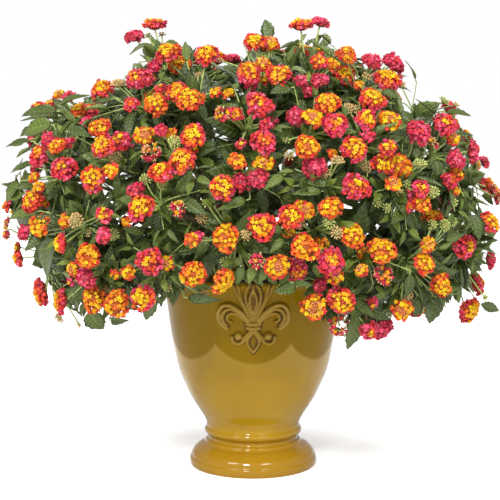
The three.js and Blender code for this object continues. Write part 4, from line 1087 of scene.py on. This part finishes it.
# What grows from a crown's middle to its rim, up to which share of the way. The cores stand for the
# close-set tubes, in colours deeper than the florets: painted shade in the gaps between them.
stages = {
    "young": {"rise": 0.62, "core": ("orange", linear(156, 58, 12)), "bud": linear(236, 132, 66),
              "rings": [(0.10, ["buds"]), (0.55, ["yellow", "yellow", "gold", "orange"]),
                        (0.74, ["gold", "orange", "coral"]), (2, ["coral", "red", "orange"])]},
    "classic": {"rise": 0.62, "core": ("coral", linear(146, 24, 24)), "bud": linear(236, 150, 60),
                "rings": [(0.04, ["buds"]), (0.38, ["yellow", "gold", "yellow"]),
                          (0.5, ["gold", "orange"]), (0.66, ["coral", "orange", "red"]),
                          (2, ["red", "magenta", "coral", "pink"])]},
    "mature": {"rise": 0.6, "core": ("magenta", linear(136, 14, 44)), "bud": linear(236, 120, 80),
               "rings": [(0.2, ["gold", "yellow"]), (0.36, ["orange", "coral"]),
                         (0.6, ["red", "magenta", "pink"]), (2, ["magenta", "pink", "red"])]},
    "ring": {"rise": 0.56, "core": ("orange", linear(160, 78, 36)), "bud": linear(232, 146, 96),
             "rings": [(0.28, ["buds"]), (0.7, ["yellow", "gold", "yellow"]),
                       (2, ["orange", "coral", "red"])]},
    "pink": {"rise": 0.55, "core": ("magenta", linear(136, 14, 56)), "bud": linear(226, 90, 120),
             "rings": [(0.25, ["pink", "red"]), (0.7, ["magenta", "pink", "magenta"]),
                       (2, ["magenta", "plum", "magenta"])]},
    "old": {"rise": 0.45, "core": None, "bud": linear(196, 160, 104),
            "rings": [(0.35, ["gap", "gap", "orange"]), (0.7, ["gap", "magenta", "gap", "gold"]),
                      (2, ["gap", "plum", "magenta"])]},
    "bud": {"rise": 0.7, "core": ("bud", linear(120, 118, 52)), "bud": linear(204, 160, 104),
            "rings": [(2, ["buds"])]},
}
greenBud = linear(168, 186, 92)
backStages = ["classic", "classic", "young", "mature", "ring"]
floret = {"radius": 0.0033, "spacing": 0.0046, "depth": 0.0030, "spread": 0.88, "core": 0.82,
          "missing": 0.10, "lift": 0.0018, "far": 94, "loose": 0.36, "sink": 0.0015,
          "dull": 0.56, "dullYellow": 0.72, "bright": 1.04, "sizes": (0.82, 1.16)}
closed = {"length": 0.0034, "spacing": 0.0029, "scattered": 0.26, "loose": 0.12, "lift": 0.0004,
          "inside": 0.97, "lengths": (0.75, 1.1), "shades": (0.78, 1.12), "innerLength": 0.7,
          "innerUpTo": 0.2, "wider": 0.03}


def stageFor(head, dice):
    # The crest tells buds, old and pink heads; the rest are found by where they show.
    if "stage" in head:
        return head["stage"]
    if head["crest"] > crests["bud"]:
        return "bud"
    if head["crest"] < crests["old"]:
        return "old"
    if head["crest"] < crests["pink"]:
        return "pink"
    if head["back"]:
        return dice.choice(backStages)
    shown = seen(head["centre"])
    return min((math.dist(spot, shown), stage)
               for stage, spots in stageOf.items() for spot in spots)[1]


def crownSpots(radius, rise, spacing, dice):
    # Even places on a flattened crown, row by row: share of the way out, angle, turn.
    far = math.radians(floret["far"])
    rows = max(1, round(radius * 0.5 * (1 + rise) * far / spacing))
    for row in range(rows + 1):
        angle = far * row / rows
        count = 1 if row == 0 else max(3, round(2 * math.pi * radius * math.sin(angle) / spacing))
        start = dice.random() * 6.283
        for k in range(count):
            yield row / rows, angle, start + 2 * math.pi * k / count


def shaded(colour, shade):
    return tuple(min(1, c * shade) for c in colour[:3]) + (1,)


def anyWay(dice, far=1):
    # A small step to any side.
    return Vector([dice.uniform(-far, far) for _ in range(3)])


class Crown:
    # One flower head: it sets its core, florets and closed buds on a flattened, lumpy crown.
    def __init__(self, head, dice):
        self.dice, self.stage = dice, stages[head["stage"]]
        self.axis, self.radius = head["axis"], head["radius"]
        self.side = squareTo(self.axis, Vector((0.3, 0.2, 1)))
        self.other = self.axis.cross(self.side)
        self.size = min(floret["radius"], self.radius * 0.42)
        self.reach = self.radius * floret["spread"]
        self.base = head["centre"] - self.axis * floret["sink"]
        self.tint = self.stage["bud"]
        if head["stage"] == "bud" and dice.random() < 0.5:
            self.tint = greenBud
        self.lumps = [(waves, dice.uniform(0, 6.28), dice.uniform(0.03, 0.13))
                      for waves in (1, 2, 3)]
        self.drift = dice.uniform(0, 6.28)

    def settle(self, angle, turn, loose, lift):
        dice = self.dice
        turn += dice.uniform(-loose, loose) * 0.5
        lump = 1 + sum(deep * math.sin(waves * turn + phase) for waves, phase, deep in self.lumps)
        out = self.reach * math.sin(angle) * lump
        up = self.reach * self.stage["rise"] * math.cos(angle)
        radial = self.side * math.cos(turn) + self.other * math.sin(turn)
        normal = self.axis * math.cos(angle * 0.92) + radial * math.sin(angle * 0.92)
        normal = (normal + anyWay(dice, loose)).normalized()
        place = self.base + radial * out + self.axis * up + normal * dice.uniform(-0.0004, lift)
        place += anyWay(dice, floret["spacing"] * loose * 0.8)
        margin = self.size * 0.7
        place = Vector([clamp(place[i], cadBox[0][i] + margin, cadBox[1][i] - margin)
                        for i in range(3)])
        spin = squareTo(normal, anyWay(dice))
        return place, turnFrom(spin, normal.cross(spin), normal)

    def colourAt(self, share, turn):
        # The rings wander, so that no head is drawn with a compass.
        share += 0.06 * math.sin(turn + self.drift) + self.dice.uniform(-0.12, 0.12)
        return self.dice.choice(next(kinds for upTo, kinds in self.stage["rings"]
                                     if share <= upTo))

    def addCore(self, florets, buds):
        if self.stage["core"] is None:
            return
        piece, tint = self.stage["core"]
        wide = self.reach * floret["core"]
        group, kind = (buds, 2) if piece == "bud" else (florets[piece], 3)
        group.append({"place": self.base, "turn": turnFrom(self.side, self.other, self.axis),
                      "size": (wide, wide, wide * self.stage["rise"]), "lobeColour": tint,
                      "eyeColour": tint, "kind": kind})

    def addFlorets(self, florets):
        dice, spacing = self.dice, floret["spacing"] * self.size / floret["radius"]
        for share, angle, turn in crownSpots(self.reach, self.stage["rise"], spacing, dice):
            colour = self.colourAt(share, turn)
            if colour in ("buds", "gap") or dice.random() < floret["missing"]:
                continue
            place, facing = self.settle(angle, turn, floret["loose"], floret["lift"])
            piece, lobe, eye = petals[colour]
            dullest = floret["dullYellow"] if piece == "yellow" else floret["dull"]
            shade = dice.uniform(dullest, floret["bright"])
            size = self.size * dice.uniform(*floret["sizes"])
            florets[piece].append({"place": place, "turn": facing,
                                   "kind": dice.choice([0, 0, 1, 2]),
                                   "size": (size, size, min(self.size, floret["depth"])),
                                   "eyeColour": eye, "lobeColour": shaded(lobe, shade)})

    def addBuds(self, buds):
        # Closed buds fill the middle of a young head, and stand scattered on an old one.
        dice, (innermost, kinds) = self.dice, self.stage["rings"][0]
        budsUpTo = innermost + closed["wider"] if kinds == ["buds"] else 0
        for share, angle, turn in crownSpots(self.reach * closed["inside"], self.stage["rise"],
                                             closed["spacing"], dice):
            outside = share > budsUpTo
            if outside and not (kinds[0] == "gap" and dice.random() < closed["scattered"]):
                continue
            place, facing = self.settle(angle, turn, closed["loose"], closed["lift"])
            length = closed["length"] * dice.uniform(*closed["lengths"])
            length *= closed["innerLength"] if share < closed["innerUpTo"] else 1
            shade = dice.uniform(*closed["shades"])
            buds.append({"place": place, "turn": facing, "size": (length,) * 3,
                         "kind": dice.choice([0, 1]), "eyeColour": self.tint,
                         "lobeColour": shaded(self.tint, shade)})


# Small heads among the large ones, by where they show: across, up and width in millimetres.
smallHeads = {
    "bud": [(-146, 684, 9), (-168, 682, 9), (-53, 643, 8), (-87, 620, 8), (27, 655, 10),
            (14, 649, 10), (217, 638, 16), (183, 617, 12), (237, 605, 12), (164, 565, 12),
            (153, 566, 14), (-265, 365, 7), (-223, 363, 14), (-311, 230, 14), (-279, 218, 8),
            (-238, 276, 12), (-83, 389, 12), (-75, 415, 7), (-173, 304, 9), (-138, 278, 8),
            (-45, 319, 10), (-80, 265, 14), (65, 302, 12), (50, 278, 16), (112, 464, 16),
            (53, 515, 7), (58, 490, 10), (75, 381, 14), (238, 429, 11), (247, 445, 9),
            (200, 415, 10), (215, 405, 10), (325, 571, 10), (288, 380, 12), (320, 385, 14),
            (250, 265, 12), (372, 262, 9), (323, 415, 9), (-222, 487, 15), (-173, 452, 14),
            (-145, 445, 15), (181, 472, 14), (308, 378, 15), (284, 260, 15), (307, 577, 15)],
    "ring": [(-95, 502, 18), (58, 368, 16), (-59, 592, 16), (-39, 590, 16), (14, 612, 16),
             (170, 603, 16), (343, 526, 12)],
    "mature": [(-148, 597, 18), (-20, 508, 14), (-332, 486, 18), (70, 306, 34), (248, 408, 20),
               (315, 448, 28), (190, 253, 18), (-292, 288, 16)],
    "pink": [(30, 546, 16), (-296, 510, 18), (-268, 547, 16), (5, 298, 14), (108, 281, 20),
             (-2, 603, 16)],
    "young": [(-132, 524, 18), (128, 492, 14), (110, 347, 22), (-333, 412, 12), (-203, 384, 14),
              (-221, 300, 14), (380, 358, 18), (175, 335, 14), (325, 433, 14)],
    "old": [(287, 512, 20)],
}
# Blooms that fill the sides and the back as evenly as the front.
fillers = {"tries": 520, "apart": 0.046, "radius": (0.015, 0.021), "depth": (0.0, 0.08),
           "room": 24, "outline": (388, 390, 300)}
stalk = {"hubReach": 0.085, "hang": 0.3, "bend": 0.008, "radius": 0.0012, "top": 0.0018,
         "step": 0.007}


def onDome(across, up, share):
    # The front place at a share of the plant's rounded surface that shows at a given spot.
    eye, aim = Vector(camera["place"]), Vector((across, 0, up)) * mm
    steps = [eye.lerp(aim, 0.7 + 0.005 * k) for k in range(70)]
    return next((place for place in steps if domeScale(place) < share),
                min(steps, key=domeScale))


def footFor(centre):
    # Where a head's stalk starts: the nearest hub, or else the nearest inner stem.
    hub = min(hubs, key=lambda place: (place - centre).length)
    if (hub - centre).length < stalk["hubReach"]:
        return hub
    inner = [spot for spot, _, _ in spots if domeScale(spot) < domeScale(centre) - 0.04]
    return min(inner, key=lambda place: (place - centre).length)


def addHead(centre, radius, **more):
    axis = (domeOut(centre) + Vector((0, 0, 0.25))).normalized()
    hub = footFor(centre)
    bow = (hub + centre) / 2 + (domeOut(centre) - Vector((0, 0, stalk["hang"]))) * stalk["bend"]
    heads.append({"back": True, "centre": centre, "axis": axis, "radius": radius,
                  "crest": crests["plain"], "foot": centre - axis * radius * 0.3, "bow": bow,
                  "hub": hub, **more})


def addFillers(dice):
    wide, middle, tall = fillers["outline"]
    for place in spreadPlaces(fillers["tries"], fillers["depth"], dice):
        across, up = seen(place)
        edge = math.hypot(across / wide, (up - middle) / tall)
        hidden = place.y > 0.0 and edge < 0.9 or place.y > 0.06 and edge < 0.97
        apart = all((head["centre"] - place).length > fillers["apart"] for head in heads)
        if hidden and apart and inOutline(place, fillers["room"]):
            addHead(place, dice.uniform(*fillers["radius"]))


def stalkPath(head):
    under = head["centre"] - head["axis"] * head["radius"] * 0.12
    way = [head["hub"], head["bow"], head["foot"], under]
    path = smoothPath([(place, stalk["radius"]) for place in way if place], stalk["step"])
    return path[:-1] + [(path[-1][0], stalk["top"])]


dice = random.Random(11)
florets = {colour: [] for colour in petalColours}
buds, stalks = [], []
spots = stemSpots()
for stage, items in smallHeads.items():
    for across, up, wide in items:
        addHead(onDome(across, up, 0.95), wide * mm / 2, stage=stage)
addFillers(dice)
for head in heads:
    head["stage"] = stageFor(head, dice)
    crown = Crown(head, dice)
    crown.addCore(florets, buds)
    crown.addFlorets(florets)
    crown.addBuds(buds)
    stalks.append(stalkPath(head))
print("flowers opened:", {key: len(value) for key, value in florets.items()}, len(buds), "buds")


# Twigs fill the rounded plant evenly: each leaves the nearest stem and ends just below the
# surface with its leaf pairs crosswise.
twigGroups = [
    {"count": 620, "depth": (0.03, 0.10), "leaf": 0.046, "tone": 0.40, "seed": 21, "lowest": 0},
    {"count": 280, "depth": (0.14, 0.30), "leaf": 0.060, "tone": 0.22, "seed": 22, "lowest": 0},
    {"count": 230, "depth": (0.13, 0.25), "leaf": 0.058, "tone": 0.28, "seed": 23,
     "lowest": 0.54}]
# Lengths in metres, slopes in degrees, and the room left at the outline in millimetres.
twig = {"pairs": 3, "gap": 0.021, "step": 0.009, "radii": (0.0013, 0.0011, 0.0007),
        "shown": (0.0012, 0.0011, 0.0008), "slope": (58, 16), "swing": 12, "tip": 0.16,
        "darker": 0.07, "edge": 8, "leafEdge": 5, "belowCrest": 6, "seed": 5, "tipLeaf": 0.55,
        "longer": 0.3, "lengths": (0.85, 1.15), "widths": (0.36, 0.5), "droop": 0.12,
        "tones": (-0.14, 0.14)}
headTree = KDTree(len(heads))
for i, head in enumerate(heads):
    headTree.insert(head["centre"], i)
headTree.balance()


def coversHead(place, room=1.0):
    # Whether a place stands in front of a flower head, or in it.
    for centre, i, _ in headTree.find_range(place, 0.05):
        head = heads[i]
        offset = place - centre
        toEye = (Vector(camera["place"]) - centre).normalized() if centre.y < 0.02 else head["axis"]
        for way in (toEye, head["axis"]):
            ahead = offset.dot(way)
            if ahead > -0.006 and (offset - way * ahead).length < head["radius"] * room:
                return True
    return False


def placeLeaf(foot, along, up, length, width, tone, kind):
    along = along.normalized()
    up = squareTo(along, up)
    right = along.cross(up)
    foliage.append({"place": foot, "turn": turnFrom(right, along, up), "kind": kind,
                    "size": (width, length, 0.55 * length + 0.5 * width), "tone": tone})


def tryLeaf(foot, along, up, length, width, tone, kind):
    # Only a leaf that stays inside the outline and off the heads is placed.
    reached = [foot + along.normalized() * length * share for share in (0.35, 0.7, 1.0)]
    if all(inOutline(spot, twig["leafEdge"]) and not coversHead(spot, 0.5) for spot in reached):
        placeLeaf(foot, along, up, length, width, tone, kind)


def dressTwig(path, dice, first, tone):
    # Leaf pairs from the tip back, each pair square to the last.
    run = (path[-1][0] - path[-3][0]).normalized()
    out = domeOut(path[-1][0])
    side = squareTo(run, anyWay(dice))
    steepest, flatter = twig["slope"]
    travelled, order = 0.0, 0
    for (before, _), (here, _) in reversed(list(zip(path, path[1:]))):
        if order == 0 or travelled > twig["gap"] * (0.8 + 0.3 * order):
            travelled = 0.0
            length = first * (twig["tipLeaf"] + twig["longer"] * order)
            length *= dice.uniform(*twig["lengths"])
            for way in (side, -side):
                slope = math.radians(steepest - flatter * order
                                     + dice.uniform(-twig["swing"], twig["swing"]))
                along = (way * math.cos(slope) + run * math.sin(slope)
                         - Vector((0, 0, twig["droop"] * order)))
                up = out * 0.9 + Vector((0, 0, 0.45)) + run * 0.4 + anyWay(dice, 0.5)
                shade = clamp(tone + twig["tip"] * (order == 0) - twig["darker"] * order
                              + dice.uniform(*twig["tones"]), 0.02, 1)
                tryLeaf(here + way * 0.004, along, up, length,
                        length * dice.uniform(*twig["widths"]), shade, dice.choice([0, 0, 1, 2]))
            side = run.cross(side).normalized()
            order += 1
            if order == twig["pairs"]:
                return
        travelled += (here - before).length


def pulledIn(target):
    # The same way from the plant's middle, but far enough in to stay within the outline.
    middle = Vector((0, 0, dome["middle"]))
    for share in (1, 0.95, 0.9, 0.85, 0.8):
        place = middle.lerp(target, share)
        if inOutline(place, twig["edge"]) and not coversHead(place, 0.8):
            return place
    return None


def thinStem(places, radii):
    return smoothPath(list(zip(places, radii)), twig["step"])


def twigTo(target, dice):
    # A bowed stem from one of the three nearest stem places that lie further in.
    out = domeOut(target)
    near = sorted(((spot - target).length - 0.03 * run.dot((target - spot).normalized()), n)
                  for n, (spot, run, _) in enumerate(spots) if (target - spot).dot(out) > -0.01)
    if not near:
        return []
    spot, run, _ = spots[near[min(len(near) - 1, dice.randrange(3))][1]]
    reach = (target - spot).length
    bend = spot + run * reach * 0.35 + out * reach * 0.12
    return thinStem([spot, between(bend, (spot + target) / 2, 0.5), target], twig["radii"])


def growTwigs(group):
    dice = random.Random(group["seed"])
    for far in spreadPlaces(group["count"], group["depth"], dice):
        target = pulledIn(far) if far.z > group["lowest"] else None
        path = [] if target is None else twigTo(target, dice)
        views = [seen(place) for place, _ in path]
        if len(path) > 3 and all(up <= heightAt(crestLine, across) - twig["belowCrest"]
                                 for across, up in views):
            twigs.append(path)
            dressTwig(path, dice, group["leaf"], group["tone"])


# Leaves that show by themselves: their feet, tips and widths in millimetres.
seenLeaves = [(-140, 670, -112, 662, 12), (-332, 362, -366, 336, 22), (-160, 522, -136, 503, 16),
              (262, 470, 244, 440, 14), (120, 442, 62, 452, 18), (110, 432, 58, 428, 18),
              (-300, 560, -276, 538, 17), (-366, 511, -392, 506, 12), (-361, 474, -387, 466, 11),
              (-368, 428, -393, 418, 20), (-349, 402, -388, 390, 14), (-350, 440, -384, 436, 12),
              (376, 392, 392, 372, 10), (-352, 534, -372, 520, 14), (-20, 326, -33, 308, 15),
              (-36, 304, -22, 282, 18), (-18, 312, -24, 283, 18), (-14, 306, -3, 281, 19),
              (3, 314, -8, 283, 18), (2, 304, 16, 280, 19), (22, 313, 9, 283, 18),
              (24, 303, 39, 281, 18), (42, 312, 29, 282, 18), (54, 305, 42, 281, 17)]
foliage, twigs = [], []
leafDice = random.Random(twig["seed"])
for leaf in leaves:
    tones = (0.2, 0.5) if leaf["heel"] is None else (0.28, 0.54)
    placeLeaf(leaf["foot"], leaf["along"], leaf["up"], leaf["length"], leaf["width"],
              leafDice.uniform(*tones), leafDice.choice([0, 1, 2]))
for fromU, fromW, toU, toW, wide in seenLeaves:
    foot = onDome(fromU, fromW, 0.97)
    start = min((spot for spot, _, _ in spots), key=lambda place: (place - foot).length)
    twigs.append(thinStem([start, (start + foot) / 2, foot], twig["shown"]))
    share = farness(foot)
    along = Vector((toU - fromU, 0, toW - fromW)) * mm * share
    along += Vector((0, leafDice.uniform(-0.3, 0.3) * along.length, 0))
    placeLeaf(foot, along, Vector((leafDice.uniform(-0.3, 0.3), -1, 0.5)), along.length,
              wide * mm * share, leafDice.uniform(0.3, 0.6), leafDice.choice([0, 1, 2]))
for group in twigGroups:
    growTwigs(group)
for hub in hubs:
    # Four young leaves stand round each hub.
    run = domeOut(hub)
    side = squareTo(run, anyWay(leafDice))
    for k in range(4):
        way = Quaternion(run, math.pi / 2 * k) @ side
        length = leafDice.uniform(0.014, 0.026)
        tryLeaf(hub + way * 0.002, way + run * 0.8, run, length, length * 0.5,
                leafDice.uniform(0.7, 0.95), leafDice.choice([0, 1, 2]))
print("foliage grown:", len(foliage), "leaves on", len(twigs), "twigs")


# the pieces of the plant

woodyPaths = [smoothPath(path, 0.008) for path in stems]
petiolePaths = [smoothPath([(place, 0.0010) for place in path], twig["step"]) for path in petioles]
woodyStems = growStems("woodyStems", woodyPaths, 8, finishes["bark"])
leafyTwigs = growStems("leafyTwigs", twigs + petiolePaths, 4, finishes["stalk"])
flowerStalks = growStems("flowerStalks", stalks, 5, finishes["stalk"])
foliage.sort(key=lambda item: item["place"].y)
middleLeaf = len(foliage) // 2
frontLeaves = scatter("frontLeaves", leafShapes, foliage[:middleLeaf], finishes["leaf"])
rearLeaves = scatter("rearLeaves", leafShapes, foliage[middleLeaf:], finishes["leaf"])
flowers = {key: scatter(key + "Florets", floretShapes, points, finishes[key])
           for key, points in florets.items()}
closedBuds = scatter("closedBuds", budShapes, buds, finishes["bud"])
print("plant dressed")


# plain floor and soft light

light = {"backdrop": 1.0, "sky": 0.55, "table": 0.37, "key": 2.1, "top": 1.9, "box": 17,
         "boxSize": (0.7, 0.35), "boxFar": 2.4, "boxUp": 0.15, "floor": 40}


def makeFloor():
    size = light["floor"]
    floor = meshObject("floor", [(-size, -size, 0), (size, -size, 0), (size, size, 0),
                                 (-size, size, 0)], [(0, 1, 2, 3)], False)
    shade = Shader("pale floor")
    grain = shade.noise(3, 2)
    white = shade.ramp(grain, (0.3, (0.86, 0.86, 0.86)), (0.7, (0.89, 0.89, 0.89)))
    glow = shade.times(shade.add("LightPath").outputs["Is Camera Ray"], light["table"])
    floor.data.materials.append(shade.finish(
        Base_Color=white, Roughness=0.8, Specular_IOR_Level=0.2,
        Emission_Color=(1, 1, 1, 1), Emission_Strength=glow))


def makeLamp(name, kind, across, height, strength):
    # Lamps are turned by degrees from the front and by their height in degrees.
    lamp = addObject(name, bpy.data.lights.new(name, kind))
    lamp.data.energy = strength
    lamp.rotation_euler = (math.radians(90 - height), 0, math.radians(across))
    return lamp


def softSun(name, across, height, spread, strength):
    makeLamp(name, "SUN", across, height, strength).data.angle = math.radians(spread)


def softBox(name, across, height, strength):
    # A lit panel that faces the pot, which gives the glaze its highlights.
    box = makeLamp(name, "AREA", across, height, strength)
    box.data.shape = "RECTANGLE"
    box.data.size, box.data.size_y = light["boxSize"]
    away = box.rotation_euler.to_matrix() @ Vector((0, 0, light["boxFar"]))
    box.location = away + Vector((0, 0, light["boxUp"]))
    box.visible_camera = False


def makeLight():
    # The backdrop shows white, and lights the plant a little less than it shows.
    world = bpy.data.worlds.new("studio")
    world.use_nodes = True
    nodes, links = world.node_tree.nodes, world.node_tree.links
    path = nodes.new("ShaderNodeLightPath")
    strength = nodes.new("ShaderNodeMapRange")
    strength.inputs["To Min"].default_value = light["sky"]
    strength.inputs["To Max"].default_value = light["backdrop"]
    links.new(path.outputs["Is Camera Ray"], strength.inputs["Value"])
    nodes["Background"].inputs["Color"].default_value = (1, 1, 1, 1)
    links.new(strength.outputs[0], nodes["Background"].inputs["Strength"])
    bpy.context.scene.world = world
    softSun("key light", -14, 37, 9, light["key"])
    softSun("top light", 160, 72, 30, light["top"])
    softBox("left box", -42, 36, light["box"])
    softBox("right box", 27, 36, light["box"])


makeFloor()
makeLight()
makeCamera()
bpy.context.scene.view_settings.view_transform = "Standard"
print("studio lit")


# every piece rides on the pot's body and stands for its solids

def keepInside(piece):
    # No petal or leaf tip reaches past the solids.
    places = np.zeros(len(piece.data.vertices) * 3, dtype=np.float32)
    piece.data.vertices.foreach_get("co", places)
    places = np.clip(places.reshape(-1, 3), cadBox[0], cadBox[1])
    piece.data.vertices.foreach_set("co", places.astype(np.float32).reshape(-1))
    piece.data.update()


dressed = [(glazedPot, "glaze", ["pot"]), (soilBed, "earth", ["soil"]),
           (woodyCrown, "bark", ["crown"]), (woodyStems, "bark", branchNodes),
           (leafyTwigs, "foliage", branchNodes), (frontLeaves, "foliage", branchNodes),
           (rearLeaves, "foliage", branchNodes), (flowerStalks, "foliage", sprayNodes),
           (closedBuds, "petals_coral", sprayNodes)]
dressed += [(flowers[key], "petals_" + key, sprayNodes) for key in flowers]
for piece, slot, nodes in dressed:
    keepInside(piece)
    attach(piece, "root")
    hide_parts(*nodes)
